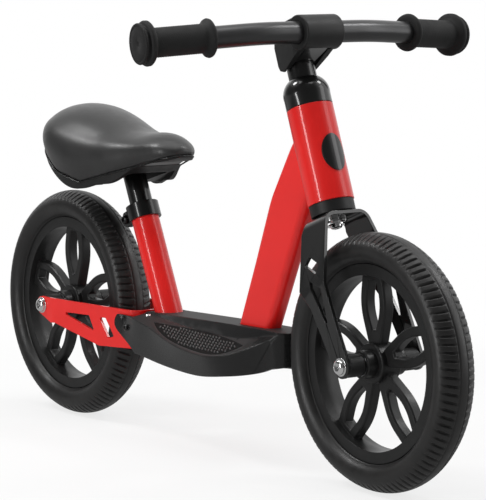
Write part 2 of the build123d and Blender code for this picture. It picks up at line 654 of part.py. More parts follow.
# Handlebar group
def bar_point(length):
    """Point of the bar's left half at a length from its middle: straight, one bend, straight."""
    turn = radians(BAR_BEND_ANGLE)
    bent = min(max(length - BAR_STRAIGHT, 0), BAR_BEND_RADIUS * turn) / BAR_BEND_RADIUS
    beyond = max(length - BAR_STRAIGHT - BAR_BEND_RADIUS * turn, 0)
    out = min(length, BAR_STRAIGHT) + BAR_BEND_RADIUS * sin(bent) + beyond * cos(turn)
    offset = BAR_BEND_RADIUS * (1 - cos(bent)) + beyond * sin(turn)
    droop = radians(BAR_DROOP_ANGLE)
    return BAR_X - offset * cos(droop), out, BAR_Z - offset * sin(droop)


def bar_path():
    bend_end = BAR_STRAIGHT + BAR_BEND_RADIUS * radians(BAR_BEND_ANGLE)
    lengths = (BAR_HALF_LENGTH, bend_end, (BAR_STRAIGHT + bend_end) / 2, BAR_STRAIGHT)
    left = [bar_point(length) for length in lengths]
    right = [(x, -y, z) for x, y, z in reversed(left)]
    return Wire([
        Line(left[0], left[1]), ThreePointArc(*left[1:]), Line(left[3], right[0]),
        ThreePointArc(*right[:3]), Line(right[2], right[3]),
    ])


def bar_solid(radius):
    path = bar_path()
    return sweep(Plane(origin=path @ 0, z_dir=path % 0) * Circle(radius), path=path)


def sleeve_on_bar(radius, start, end):
    """Round sleeve on the straight end of the bar's left half, between two lengths along it."""
    foot = Vector(*bar_point(start))
    axis = Vector(*bar_point(end)) - foot
    return Plane(origin=foot, z_dir=axis).location * rod(radius, 0, axis.length)


def handlebar():
    return bar_solid(BAR_RADIUS) - bar_solid(BAR_RADIUS - BAR_WALL)


def left_grip():
    body_end = BAR_HALF_LENGTH - GRIP_OUTER_FLANGE_WIDTH
    groove_end = BAR_HALF_LENGTH + GRIP_GROOVE_WIDTH
    end = groove_end + GRIP_END_WIDTH
    flange_end = GRIP_START + GRIP_INNER_FLANGE_WIDTH
    grip = sleeve_on_bar(GRIP_RADIUS, flange_end, body_end)
    grip += sleeve_on_bar(GRIP_INNER_FLANGE_RADIUS, GRIP_START, flange_end)
    grip += sleeve_on_bar(GRIP_OUTER_FLANGE_RADIUS, body_end, BAR_HALF_LENGTH)
    grip += sleeve_on_bar(GRIP_GROOVE_RADIUS, BAR_HALF_LENGTH, groove_end)
    grip += sleeve_on_bar(GRIP_END_RADIUS, groove_end, end)
    grip -= sleeve_on_bar(GRIP_DIMPLE_RADIUS, GRIP_START, end)
    return grip - sleeve_on_bar(BAR_RADIUS, GRIP_START, BAR_HALF_LENGTH)


def left_bar_plug():
    return sleeve_on_bar(BAR_RADIUS - BAR_WALL, BAR_HALF_LENGTH - PLUG_LENGTH, BAR_HALF_LENGTH)


def stem_arm():
    """Steel arm from the column's front to the barrel that holds the bar."""
    bar_t, bar_s = in_steering(BAR_X, BAR_Z)
    barrel = Rot(90, 0, 0) * rod(STEM_BARREL_RADIUS, -STEM_BARREL_HALF_WIDTH, STEM_BARREL_HALF_WIDTH)
    barrel = Pos(bar_t, 0, bar_s) * barrel
    arm = slab([(0, bar_s - STEM_ARM_DROP), (bar_t, bar_s - STEM_BARREL_RADIUS),
                (bar_t, bar_s + STEM_BARREL_RADIUS / 2), (0, COLUMN_TOP)], STEM_ARM_HALF_WIDTH)
    arm = barrel + arm - rod(COLUMN_RADIUS, 0, REACH)
    for side in (-1, 1):
        arm -= Pos(0, side * CLAMP_SCREW_SPACING / 2, 0) * clamp_screw(bar_t, bar_s)
    return largest(STEERING.location * arm - bar_solid(BAR_RADIUS))


def clamp_screw(bar_t, bar_s):
    reach = BAR_RADIUS + CLAMP_SCREW_LENGTH
    return Pos(bar_t, 0, bar_s) * rod(CLAMP_SCREW_RADIUS, -reach, 0)


def bar_clamp_screws():
    bar_t, bar_s = in_steering(BAR_X, BAR_Z)
    screw = Pos(0, CLAMP_SCREW_SPACING / 2, 0) * clamp_screw(bar_t, bar_s)
    screws = STEERING.location * both_sides(screw)
    return screws - bar_solid(BAR_RADIUS)


def column_cap():
    bore = COLUMN_RADIUS - COLUMN_WALL
    plug = rod(bore, COLUMN_TOP - COLUMN_CAP_DEPTH, COLUMN_TOP)
    return STEERING.location * (plug + rod(COLUMN_RADIUS, COLUMN_TOP, COLUMN_TOP + COLUMN_CAP_RIM))


def hood_form(inset):
    """Hood over the stem: a barrel round the bar that runs back and down over the column."""
    radius = HOOD_RADIUS - inset
    wide = HOOD_HALF_WIDTH - inset
    barrel = fillet(rod(radius, -wide, wide).edges(), HOOD_EDGE_FILLET)
    rear = BAR_X - HOOD_LENGTH + inset
    cheeks = [(BAR_X, BAR_Z + radius), (rear, BAR_Z + HOOD_REAR_RISE - inset), (rear, BAR_Z - HOOD_RADIUS)]
    cheeks += [(BAR_X + x, BAR_Z + z) for x, z in HOOD_CHEEK]
    cheeks += [(BAR_X, BAR_Z - radius)]
    waist = wide - HOOD_EDGE_FILLET
    narrow = HOOD_REAR_HALF_WIDTH - inset
    plan = outline([(BAR_X, waist), (BAR_X - HOOD_RADIUS / 2, waist), (rear, narrow), (rear, -narrow),
                    (BAR_X - HOOD_RADIUS / 2, -waist), (BAR_X, -waist)])
    return across(BAR_X, BAR_Z, barrel) + (slab(cheeks, REACH) & extrude(plan, 2 * REACH))


def stem_cover():
    mouth = slab([(BAR_X - 2 * HOOD_LENGTH, 0), (BAR_X - 2 * HOOD_LENGTH, BAR_Z - HOOD_WALL),
                  (BAR_X + HOOD_MOUTH, BAR_Z), (BAR_X + HOOD_MOUTH, 0)], HOOD_REAR_HALF_WIDTH - HOOD_WALL)
    shell = hood_form(0) - hood_form(HOOD_WALL) - mouth
    return largest(shell - bar_solid(BAR_RADIUS + FACE_GAP))


# Frame tubes
def main_tube_form(inset):
    """Main tube from inside the head tube down to the beam, shrunk on its four long sides."""
    foot_front = BEAM_FRONT + MAIN_TUBE_FOOT_OVERHANG
    rear = [(foot_front - MAIN_TUBE_FOOT_DEPTH, BEAM_TOP)]
    rear += [(HEAD_FOOT_X - back, HEAD_FOOT_Z + rise) for back, rise in MAIN_TUBE_REAR]
    front = [(foot_front, BEAM_TOP),
             (HEAD_FOOT_X - MAIN_TUBE_FRONT_BACK, HEAD_FOOT_Z + MAIN_TUBE_FRONT_RISE)]
    if inset:
        rear = shifted_path(rear, -inset)
        front = shifted_path(front, inset)
    face = outline(front + list(reversed(rear)))
    knees = [v for v in face.vertices() if any(hypot(v.X - x, v.Y - z) < 0.01 for x, z in rear[1:-1])]
    face = fillet(knees, MAIN_TUBE_KNEE_RADIUS)
    half_width = MAIN_TUBE_HALF_WIDTH - inset
    tube = extrude(Plane.XZ * face, half_width, both=True)
    end_heights = [(a[1] + b[1]) / 2 for a, b in ((front[0], rear[0]), (front[1], rear[-1]))]
    side_edges = [e for e in tube.edges() if abs(abs(e.center().Y) - half_width) < 0.01]
    long_edges = [e for e in side_edges if min(abs(e.center().Z - z) for z in end_heights) > 0.01]
    return fillet(long_edges, MAIN_TUBE_CORNER - inset)


def main_tube():
    tube = main_tube_form(0) - main_tube_form(MAIN_TUBE_WALL)
    return largest(tube - STEERING.location * rod(HEAD_RADIUS, -REACH, REACH))


def base_beam():
    length = BEAM_FRONT - BEAM_REAR
    height = BEAM_TOP - BEAM_BOTTOM
    place = Pos((BEAM_FRONT + BEAM_REAR) / 2, 0, (BEAM_TOP + BEAM_BOTTOM) / 2)
    beam = Box(length, 2 * BEAM_HALF_WIDTH, height)
    beam = fillet(beam.edges().filter_by(Axis.X), BEAM_WALL)
    return place * (beam - Box(length, 2 * (BEAM_HALF_WIDTH - BEAM_WALL), height - 2 * BEAM_WALL))


def seat_tube():
    tube = pipe(SEAT_TUBE_RADIUS, SEAT_BORE_RADIUS, -REACH / 4, SEAT_TUBE_TOP)
    tube -= clamp_slot(SEAT_TUBE_TOP - 2 * CLAMP_RADIUS)
    return SEATING.location * tube - below(BEAM_TOP)


def clamp_slot(foot):
    align = (Align.MAX, Align.CENTER, Align.MIN)
    return Pos(0, 0, foot) * Box(REACH, CLAMP_SLOT, REACH, align=align)


def seat_tube_sleeve():
    bore = POST_RADIUS + RUNNING_CLEARANCE
    return SEATING.location * pipe(SEAT_BORE_RADIUS, bore, SEAT_TUBE_TOP - SLEEVE_LENGTH, SEAT_TUBE_TOP)


def rear_yoke():
    """Bent sheet: a bridge ahead of the tyre and a pierced plate each side back to the axle."""
    end = REAR_AXLE_X - YOKE_END_RADIUS
    straight = REAR_AXLE_X + 2 * YOKE_END_RADIUS
    path = [(0, BEAM_REAR), (YOKE_FRONT_OUTER - 1, BEAM_REAR), (YOKE_FRONT_OUTER, YOKE_FRONT_X),
            (YOKE_END_OUTER, straight), (YOKE_END_OUTER, end)]
    sheet = bent_strip(path, YOKE_SHEET, 1, YOKE_BEND_RADIUS)
    bent = Rot(0, 0, -90) * mirror(extrude(sheet, REACH), about=Plane.YZ)
    front = BEAM_REAR + YOKE_SHEET
    heel = (REAR_AXLE_X - YOKE_END_BACK, AXLE_Z - YOKE_END_RADIUS + 1)
    side = make_face([
        Polyline((REAR_AXLE_X, YOKE_TOP), (front, YOKE_TOP), (front, BEAM_BOTTOM - 1),
                 YOKE_HEEL, *YOKE_TOE, heel),
        ThreePointArc(heel, (REAR_AXLE_X - YOKE_END_RADIUS, AXLE_Z), (REAR_AXLE_X, YOKE_TOP)),
    ])
    body = bent & extrude(Plane.XZ * side, REACH, both=True)
    for points in (YOKE_TRIANGLE, YOKE_SLOT):
        window = fillet(outline(points).vertices(), YOKE_WINDOW_CORNER)
        body -= extrude(Plane.XZ * window, REACH, both=True)
    return body - across(REAR_AXLE_X, AXLE_Z, rod(AXLE_RADIUS, -REACH, REACH))


# Seat clamp, post and saddle
def seat_clamp():
    ring = pipe(CLAMP_RADIUS, SEAT_TUBE_RADIUS, CLAMP_FOOT, SEAT_TUBE_TOP)
    lip = pipe(CLAMP_RADIUS, POST_RADIUS + CLAMP_LIP_GAP, SEAT_TUBE_TOP, CLAMP_TOP)
    ears = Pos(0, 0, CLAMP_FOOT) * Box(
        CLAMP_EAR_REACH, CLAMP_SLOT + 2 * CLAMP_EAR_THICKNESS, CLAMP_TOP - CLAMP_FOOT,
        align=(Align.MAX, Align.CENTER, Align.MIN))
    ears = fillet(ears.edges().filter_by(Axis.Y).group_by(Axis.X)[0], CLAMP_EAR_FILLET)
    ears -= rod(SEAT_TUBE_RADIUS, CLAMP_FOOT, CLAMP_TOP)
    body = ring + lip + ears - clamp_slot(CLAMP_FOOT) - clamp_bolt_rod(-REACH, REACH)
    return SEATING.location * body


def clamp_bolt_rod(start, end):
    return across(-CLAMP_BOLT_REACH, (CLAMP_FOOT + CLAMP_TOP) / 2, rod(CLAMP_BOLT_RADIUS, start, end))


def seat_clamp_bolt():
    face = CLAMP_SLOT / 2 + CLAMP_EAR_THICKNESS
    bolt = button_bolt(CLAMP_BOLT_HEAD_RADIUS, CLAMP_BOLT_HEAD_HEIGHT, CLAMP_BOLT_HEAD_RADIUS * 0.45,
                       CLAMP_BOLT_RADIUS, 2 * face)
    bolt = Pos(0, 0, face) * bolt
    nut = hexagon(CLAMP_BOLT_HEAD_RADIUS * 1.1, -face - CLAMP_BOLT_HEAD_HEIGHT, -face)
    return SEATING.location * across(-CLAMP_BOLT_REACH, (CLAMP_FOOT + CLAMP_TOP) / 2, bolt + nut)


def below(height):
    align = (Align.CENTER, Align.CENTER, Align.MAX)
    return Pos(0, 0, height) * Box(4 * REACH, 4 * REACH, 4 * REACH, align=align)


def seat_post():
    post = pipe(POST_RADIUS, POST_RADIUS - POST_WALL, POST_FOOT, REACH)
    return SEATING.location * post & below(BRACKET_Z)


def post_end_cap():
    plug = rod(POST_RADIUS - POST_WALL, POST_FOOT, POST_FOOT + POST_CAP_LENGTH)
    face = rod(POST_RADIUS - POST_WALL / 2, POST_FOOT - POST_WALL, POST_FOOT)
    return SEATING.location * (plug + face)


def post_axis_x(height):
    """Where the seat post's axis passes a given height."""
    return SEAT_FOOT_X - (height - SEAT_FOOT_Z) / tan(radians(SEAT_ANGLE))


def bracket_bolt_places():
    centre = post_axis_x(BRACKET_Z)
    along = BRACKET_HALF_LENGTH - 2 * SADDLE_BOLT_HEAD_RADIUS
    aside = BRACKET_HALF_WIDTH - 1.5 * SADDLE_BOLT_HEAD_RADIUS
    return [(centre + i * along, j * aside) for i in (-1, 1) for j in (-1, 1)]


def saddle_bracket():
    centre = post_axis_x(BRACKET_Z)
    plate = extrude(RectangleRounded(2 * BRACKET_HALF_LENGTH, 2 * BRACKET_HALF_WIDTH, BRACKET_CORNER),
                    BRACKET_THICKNESS)
    plate = Pos(centre, 0, BRACKET_Z) * plate
    top = (BRACKET_Z - SEAT_FOOT_Z) / sin(radians(SEAT_ANGLE))
    socket = pipe(POST_RADIUS + BRACKET_SOCKET_WALL, POST_RADIUS, top - BRACKET_SOCKET_DEPTH, REACH)
    bracket = plate + (SEATING.location * socket & below(BRACKET_Z))
    for x, y in bracket_bolt_places():
        bracket -= Pos(x, y, BRACKET_Z) * rod(SADDLE_BOLT_RADIUS, 0, BRACKET_THICKNESS)
    return bracket


def saddle_bolts():
    bolt = button_bolt(SADDLE_BOLT_HEAD_RADIUS, SADDLE_BOLT_HEAD_HEIGHT, SADDLE_BOLT_HEAD_RADIUS * 0.45,
                       SADDLE_BOLT_RADIUS, BRACKET_THICKNESS + SADDLE_PAN_WALL)
    bolts = Part()
    for x, y in bracket_bolt_places():
        bolts += Pos(x, y, BRACKET_Z) * Rot(180, 0, 0) * bolt
    return bolts


def saddle_section(station):
    """Closed section across the saddle: flat foot, leaning flanks, round shoulders and crown."""
    x, foot_width, foot_z, flank_width, flank_z, shoulder_width, shoulder_z, crown_z = station
    foot = (foot_width, foot_z)
    flank = (flank_width, flank_z)
    shoulder = (shoulder_width, shoulder_z)
    bulge = SADDLE_SHOULDER_BULGE * hypot(flank[0] - shoulder[0], flank[1] - shoulder[1])
    round_point = ((flank[0] + shoulder[0]) / 2 + bulge, (flank[1] + shoulder[1]) / 2 + bulge)
    edges = [
        Line((-foot[0], foot[1]), foot), Line(foot, flank), ThreePointArc(flank, round_point, shoulder),
        ThreePointArc(shoulder, (0, crown_z), (-shoulder[0], shoulder[1])),
        ThreePointArc((-shoulder[0], shoulder[1]), (-round_point[0], round_point[1]), (-flank[0], flank[1])),
        Line((-flank[0], flank[1]), (-foot[0], foot[1])),
    ]
    return Pos(SADDLE_X + x, 0, SADDLE_Z) * (Plane.YZ * make_face(edges))


def saddle_form():
    return loft([saddle_section(station) for station in SADDLE_STATIONS])


def saddle_hollow():
    """Upright hollow inside the skirt, set in from the foot line by the skirt's wall."""
    sides = [(SADDLE_X + station[0], station[1] - SADDLE_SKIRT_WALL) for station in SADDLE_STATIONS[2:-1]]
    return extrude(mirrored_outline(sides), REACH)


def below_seam(drop):
    """Everything under the seam line of the saddle, lowered by a drop."""
    line = [(SADDLE_X + x, SADDLE_Z + z - drop) for x, z in SADDLE_SEAM]
    return slab(line + [(line[-1][0], 0), (line[0][0], 0)], REACH)


def saddle_pan(shrink, top):
    box = Box(2 * (SADDLE_PAN_HALF_LENGTH - shrink), 2 * (SADDLE_PAN_HALF_WIDTH - shrink), REACH / 4,
              align=(Align.CENTER, Align.CENTER, Align.MAX))
    box = fillet(box.edges().filter_by(Axis.Z), SADDLE_PAN_CORNER - shrink)
    return Pos(post_axis_x(BRACKET_Z), 0, top) * box


def saddle_pad():
    roof = BRACKET_Z + BRACKET_THICKNESS + SADDLE_PAN_WALL
    return saddle_form() - below_seam(0) - saddle_pan(0, roof)


def saddle_base():
    ceiling = BRACKET_Z + BRACKET_THICKNESS
    band = saddle_form() & below_seam(0)
    pan = saddle_pan(0, ceiling + SADDLE_PAN_WALL) - below_seam(SADDLE_PAN_WALL)
    base = band - (saddle_hollow() & below_seam(SADDLE_PAN_WALL)) + pan - saddle_pan(SADDLE_PAN_WALL, ceiling)
    for x, y in bracket_bolt_places():
        base -= Pos(x, y, ceiling) * rod(SADDLE_BOLT_RADIUS, 0, SADDLE_PAN_WALL)
    return base


# Footboard
def board_section(station, inset):
    """Section across the footboard: raised ridge, two dished treads, lip and leaning walls."""
    x, foot_width, foot_z, lip_width, lip_z, ridge_z = station
    ridge = (BOARD_RIDGE_HALF_WIDTH, ridge_z - inset)
    dish = (BOARD_RIDGE_HALF_WIDTH + BOARD_DISH_SHARE * (lip_width - BOARD_RIDGE_HALF_WIDTH),
            ridge_z - BOARD_DISH_DROP * (ridge_z - lip_z) - inset)
    lip = (lip_width - inset, lip_z - inset)
    foot = (foot_width - inset, foot_z - inset)
    half = [ridge, dish, lip, foot]
    points = half + [(-y, z) for y, z in reversed(half)]
    return Pos(x, 0, 0) * (Plane.YZ * outline(points))


def board_form(inset):
    sections = []
    for station in BOARD_STATIONS:
        x = station[0] - inset
        sections.append(board_section((x,) + station[1:], inset))
    return loft(sections) & behind_bow(inset)


def behind_bow(inset):
    """Everything behind the board's front, which is round in plan from the last section but one."""
    start, front = BOARD_STATIONS[-2:]
    reach = front[0] - start[0]
    radius = (start[3] ** 2 + reach ** 2) / (2 * reach)
    bow = Pos(front[0] - radius, 0, 0) * rod(radius - inset, 0, REACH)
    rest = Box(REACH, REACH, REACH, align=(Align.MAX, Align.CENTER, Align.MIN))
    return bow + Pos(start[0] - inset, 0, 0) * rest


def tread_prism(shrink):
    """Almond plan of the left tread, carried upwards."""
    rear = (TREAD_REAR_X + 3 * shrink, TREAD_TIP_Y)
    front = (TREAD_FRONT_X - 3 * shrink, TREAD_TIP_Y)
    middle = (rear[0] + front[0]) / 2
    lip = [(station[0], station[3] - TREAD_LIP_GAP - shrink) for station in BOARD_STATIONS[3:7]]
    almond = make_face([
        Spline(rear, *lip, front),
        ThreePointArc(front, (middle, TREAD_INNER_Y + shrink), rear),
    ])
    return Pos(0, 0, TREAD_FLOOR_Z) * extrude(almond, REACH)


def left_tread():
    return largest((tread_prism(TREAD_EDGE_GAP) & board_form(0)) - board_form(TREAD_DEPTH))


def cheek_screw_place():
    """Foot of the left cheek screw's head, its axis pointing outwards."""
    return Pos(BOARD_CHEEK_SCREW_X, BOARD_CHEEK_SEAT, BOARD_CHEEK_SCREW_Z) * Rot(-90, 0, 0)


def top_screw_place():
    """Foot of the left top screw's head, its axis pointing upwards."""
    return Pos(BOARD_TOP_SCREW_X, BOARD_TOP_SCREW_Y, BOARD_TOP_SCREW_SEAT)


def board_screws(place):
    screw = button_bolt(BOARD_SCREW_HEAD_RADIUS, BOARD_SCREW_HEAD_HEIGHT, BOARD_SCREW_HEAD_RADIUS * 0.45,
                        BOARD_SCREW_RADIUS, BOARD_SCREW_LENGTH)
    return both_sides(place * screw)


def board_screw_holes():
    hole = rod(BOARD_SCREW_HEAD_RADIUS + FACE_GAP, 0, BOARD_SCREW_LENGTH)
    hole += rod(BOARD_SCREW_RADIUS, -BOARD_SCREW_LENGTH, 0)
    holes = Part()
    for place in (cheek_screw_place(), top_screw_place()):
        holes += both_sides(place * hole)
    return holes


def board_shell():
    """Whole hollow board, before the nose is parted from it."""
    shell = board_form(0) - board_form(BOARD_WALL)
    for x in BOARD_RIB_PLACES:
        rib = Pos(x, 0, BEAM_TOP) * Box(BOARD_RIB_LENGTH, 2 * BEAM_HALF_WIDTH, REACH / 4,
                                        align=(Align.CENTER, Align.CENTER, Align.MIN))
        shell += rib & board_form(BOARD_WALL / 2)
    pocket = Box(REACH, 2 * BOARD_POCKET_HALF_WIDTH, REACH, align=(Align.MAX, Align.CENTER, Align.CENTER))
    shell -= Pos(BEAM_REAR + BOARD_POCKET_GAP, 0, BEAM_TOP) * pocket
    shell -= behind_cheeks()
    shell -= SEATING.location * rod(SEAT_TUBE_RADIUS + SHELL_GAP, -REACH, REACH)
    shell -= main_tube_form(-SHELL_GAP)
    recess = tread_prism(0) - board_form(TREAD_DEPTH)
    shell -= recess + mirror(recess, about=Plane.XZ)
    return shell - board_screw_holes()


def behind_cheeks():
    """Everything behind the rounded rear end of the board's two cheeks."""
    foot, top = BOARD_CHEEK_END[0], BOARD_CHEEK_END[-1]
    side = make_face([
        Spline(*BOARD_CHEEK_END),
        Polyline(top, (top[0], REACH), (-REACH, REACH), (-REACH, 0), (foot[0], 0), foot),
    ])
    return extrude(Plane.XZ * side, REACH, both=True)


def ahead_of_seam():
    """Everything ahead of the leaning seam between the board and its nose."""
    low = min(station[2] for station in BOARD_STATIONS) - BOARD_WALL
    high = BOARD_STATIONS[-1][5] + BOARD_WALL
    seam = [(BOARD_NOSE_SEAM_FOOT, low), (BOARD_NOSE_SEAM_TOP, high)]
    return slab(seam + [(REACH, high), (REACH, low)], REACH)


def largest(shape):
    return max(shape.solids(), key=lambda solid: solid.volume)


# Writing the pieces
def front_of(shape):
    return across(FRONT_AXLE_X, AXLE_Z, shape)


def rear_of(shape):
    return across(REAR_AXLE_X, AXLE_Z, shape)


def build():
    core = wheel_core()
    rubber = tyre()
    bearings = hub_bearings()
    board = board_shell()
    yoke = rear_yoke() - board_screw_holes()
    middle = Box(REACH, 2 * (YOKE_FRONT_OUTER - YOKE_BEND_RADIUS), REACH)
    middle = Pos(BEAM_REAR, 0, AXLE_Z) * middle
    plates = sorted((yoke - middle).solids(), key=lambda solid: solid.center().Y)
    grip = left_grip()
    plug = left_bar_plug()
    tread = left_tread()
    return {
        "head_tube": head_tube(),
        "head_badge": head_badge(),
        "main_tube": main_tube(),
        "seat_tube": seat_tube(),
        "seat_tube_sleeve": seat_tube_sleeve(),
        "base_beam": base_beam(),
        "rear_plate_right": plates[0],
        "rear_plate_left": plates[-1],
        "yoke_bridge": yoke & middle,
        "footboard_shell": largest(board - ahead_of_seam()),
        "footboard_nose": largest(board & ahead_of_seam()),
        "tread_mat_left": tread,
        "tread_mat_right": mirror(tread, about=Plane.XZ),
        "footboard_screws": board_screws(top_screw_place()),
        "cheek_screws": board_screws(cheek_screw_place()),
        "lower_headset_cup": lower_headset_cup(),
        "upper_headset_bush": upper_headset_bush(),
        "seat_clamp": seat_clamp(),
        "seat_clamp_bolt": seat_clamp_bolt(),
        "rear_axle": rear_of(axle(YOKE_END_OUTER)),
        "rear_axle_spacers": rear_of(axle_spacers(YOKE_END_INNER)),
        "rear_axle_washers": rear_of(axle_washers(YOKE_END_OUTER)),
        "rear_axle_bolts": rear_of(axle_bolts(YOKE_END_OUTER)),
        "steering_column": steering_column(),
        "column_lock_collar": column_lock_collar(),
        "headset_dome": headset_dome(),
        "fork": fork(),
        "crown_bolts": crown_bolts(),
        "crown_washer": crown_washer(),
        "crown_nut": crown_nut(),
        "crown_stud": crown_stud(),
        "stem_arm": stem_arm(),
        "column_cap": column_cap(),
        "bar_clamp_screws": bar_clamp_screws(),
        "stem_cover": stem_cover(),
        "handlebar": handlebar(),
        "grip_left": grip,
        "grip_right": mirror(grip, about=Plane.XZ),
        "bar_plugs": both_sides(plug),
        "front_axle": front_of(axle(FORK_LEG_OUTER)),
        "front_axle_spacers": front_of(axle_spacers(FORK_LEG_INNER)),
        "front_axle_washers": front_of(axle_washers(FORK_LEG_OUTER)),
        "front_axle_bolts": front_of(axle_bolts(FORK_LEG_OUTER)),
        "front_wheel_core": front_of(Rot(0, 0, FRONT_WHEEL_TURN) * core),
        "front_tyre": front_of(rubber),
        "front_hub_bearings": front_of(bearings),
        "rear_wheel_core": rear_of(core),
        "rear_tyre": rear_of(rubber),
        "rear_hub_bearings": rear_of(bearings),
        "seat_post": seat_post(),
        "post_end_cap": post_end_cap(),
        "saddle_bracket": saddle_bracket(),
        "saddle_bolts": saddle_bolts(),
        "saddle_base": saddle_base(),
        "saddle_pad": saddle_pad(),
    }


os.makedirs("parts", exist_ok=True)
for name, shape in build().items():
    export_step(shape, f"parts/{name}.step")
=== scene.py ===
"""Looks of the balance bike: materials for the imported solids, and finer tyres, saddle, grips and mats.

Metres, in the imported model's own frame: X forward, Y to the rider's left, Z up, ground at Z = 0.
"""

import json
from math import atan2, ceil, cos, hypot, pi, radians, sin

import bpy
from mathutils import Euler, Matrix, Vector
from mathutils.bvhtree import BVHTree

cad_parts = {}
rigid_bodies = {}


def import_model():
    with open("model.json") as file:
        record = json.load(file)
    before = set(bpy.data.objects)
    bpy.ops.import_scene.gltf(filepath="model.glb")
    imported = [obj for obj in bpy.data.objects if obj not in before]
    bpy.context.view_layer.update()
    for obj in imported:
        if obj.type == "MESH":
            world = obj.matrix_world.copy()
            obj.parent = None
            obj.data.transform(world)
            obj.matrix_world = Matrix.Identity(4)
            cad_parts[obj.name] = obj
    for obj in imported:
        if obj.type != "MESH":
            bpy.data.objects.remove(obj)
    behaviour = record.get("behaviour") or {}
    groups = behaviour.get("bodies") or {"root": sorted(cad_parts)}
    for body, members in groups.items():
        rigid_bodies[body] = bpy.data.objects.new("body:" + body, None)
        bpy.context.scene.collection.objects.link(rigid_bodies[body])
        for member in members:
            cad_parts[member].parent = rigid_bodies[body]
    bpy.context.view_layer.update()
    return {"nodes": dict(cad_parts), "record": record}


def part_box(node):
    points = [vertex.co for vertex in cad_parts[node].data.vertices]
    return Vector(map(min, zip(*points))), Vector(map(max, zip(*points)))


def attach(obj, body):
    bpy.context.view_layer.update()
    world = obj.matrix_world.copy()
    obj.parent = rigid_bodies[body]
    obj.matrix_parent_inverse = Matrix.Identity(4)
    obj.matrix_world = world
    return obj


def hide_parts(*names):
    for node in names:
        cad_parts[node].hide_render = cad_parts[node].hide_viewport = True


for leftover in list(bpy.data.objects):
    bpy.data.objects.remove(leftover)
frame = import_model()
NODES = frame["nodes"]
MM = 0.001
DOWN = Vector((0, 0, -1))
UP = Vector((0, 0, 1))
LEFT = Vector((0, 1, 0))

# Camera
CAMERA_PLACE = Vector((2.23474, -1.58149, 0.53213))
CAMERA_TARGET = Vector((0.04699, 0.0, 0.21574))
CAMERA_ROLL = radians(-0.11)
CAMERA_LENS = 189.22
CAMERA_SENSOR = 36.0
CAMERA_REACH = 50.0

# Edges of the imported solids, rounded by their slot's width where it has its own
EDGE_ANGLE = radians(32)
EDGE_ROUNDING = 0.5 * MM
EDGE_SEGMENTS = 2
ROUNDINGS = {"bright_hardware": 0.2 * MM, "steel": 0.2 * MM, "board_plastic": 1.5 * MM}
WELD_DISTANCE = 0.002 * MM

# Materials: radius of the edges' soft shading, and the part of a noise pattern's range in use
EDGE_SHADE = 0.9 * MM
BOARD_EDGE_SHADE = 2.6 * MM
METAL_EDGE_SHADE = 0.15 * MM
ROUGHNESS_SPAN = (0.25, 0.75)
COLOUR_SPAN = (0.3, 0.7)
# The board is glossy on its sides and dull on top, by how far its surface faces upward
BOARD_GLOSS = 0.22
BOARD_DULL = 0.6
BOARD_TOP_SPAN = (0.8, 0.97)
POST_NODES = ("seat_post", "seat_clamp", "seat_clamp_bolt")
MAT_NODES = ("tread_mat_left", "tread_mat_right")

# Tyres
TREAD_PITCHES = 98
PITCH_STEPS = 12
# Depth of a groove at the first steps of each pitch, as shares; the other steps are land
GROOVE_STEPS = (0.6, 1.0, 0.9, 0.35)
GROOVE_DEPTH = 2.6 * MM
GROOVE_SWEEP = radians(1.6)
GROOVE_INNER = 5.6 * MM
GROOVE_OUTER = 20.5 * MM
GROOVE_INNER_SLOPE = 5
GROOVE_OUTER_SLOPE = 3
CENTRE_LINE = 5.0 * MM
CENTRE_LINE_WIDTH = 0.55 * MM
CENTRE_LINE_DEPTH = 0.9 * MM
TREAD_ABOVE_SEAT = 12 * MM
TYRE_SEAT_RADIUS = 98 * MM
TYRE_SEAT_HALF_WIDTH = 13 * MM
TYRE_SEAT_DEPTH = 1 * MM
TYRE_SHOULDER_DROP = 5.5 * MM
TYRE_SHOULDER_HALF_WIDTH = 15 * MM
TYRE_WALL_POINTS = 16
TYRE_CROWN_POINTS = 41

# Bar under the grips
BAR_X = 170.5 * MM
BAR_Z = 443.8 * MM
BAR_STRAIGHT = 46.7 * MM
BAR_BEND_RADIUS = 245 * MM
BAR_BEND = radians(9.4)
BAR_DROOP = radians(21.4)

# Grips, in mm: the outline is length along the bar from its middle, then radius
GRIP_OUTLINE = (
    (121.8, 11.3), (121.8, 14.6), (122.2, 17.2), (123.4, 18.7), (125.0, 19.2), (126.6, 18.6), (128.4, 16.6),
    (130.2, 14.9), (132.0, 14.2), (184.0, 14.2), (185.8, 15.0), (186.8, 18.0), (187.6, 20.8), (188.8, 21.9),
    (191.4, 22.0), (192.8, 21.2), (193.5, 19.0), (194.2, 17.6), (195.0, 17.6), (195.6, 18.6), (196.4, 19.7),
    (198.2, 20.0), (199.2, 19.5), (199.5, 18.3), (198.9, 17.4), (198.9, 16.4), (199.4, 15.8), (199.4, 3.2),
    (198.4, 2.4), (198.4, 0.05),
)
GRIP_BODY_START = 133.0
GRIP_BODY_END = 183.0
GRIP_PATTERN_HEIGHT = 0.35
GRIP_SIDES = 72
GRIP_ROWS = 20
GRIP_ROW_STEPS = 6
GRIP_COLUMNS = 18

# Saddle pad
PAD_VOXEL = 2.6 * MM
PAD_SMOOTHING = 14
PAD_SMOOTH_FACTOR = 0.5

# Piping along the saddle's seam; the seam's points are mm ahead of and above the saddle's own origin
SADDLE_X = -160 * MM
SADDLE_Z = 300 * MM
SADDLE_SEAM = ((-130, 19), (-92, 1.5), (-62, -17.5), (-22, -28), (110, 9))
PIPING_RADIUS = 0.9 * MM
PIPING_STEP = 3 * MM
PIPING_SIDES = 10

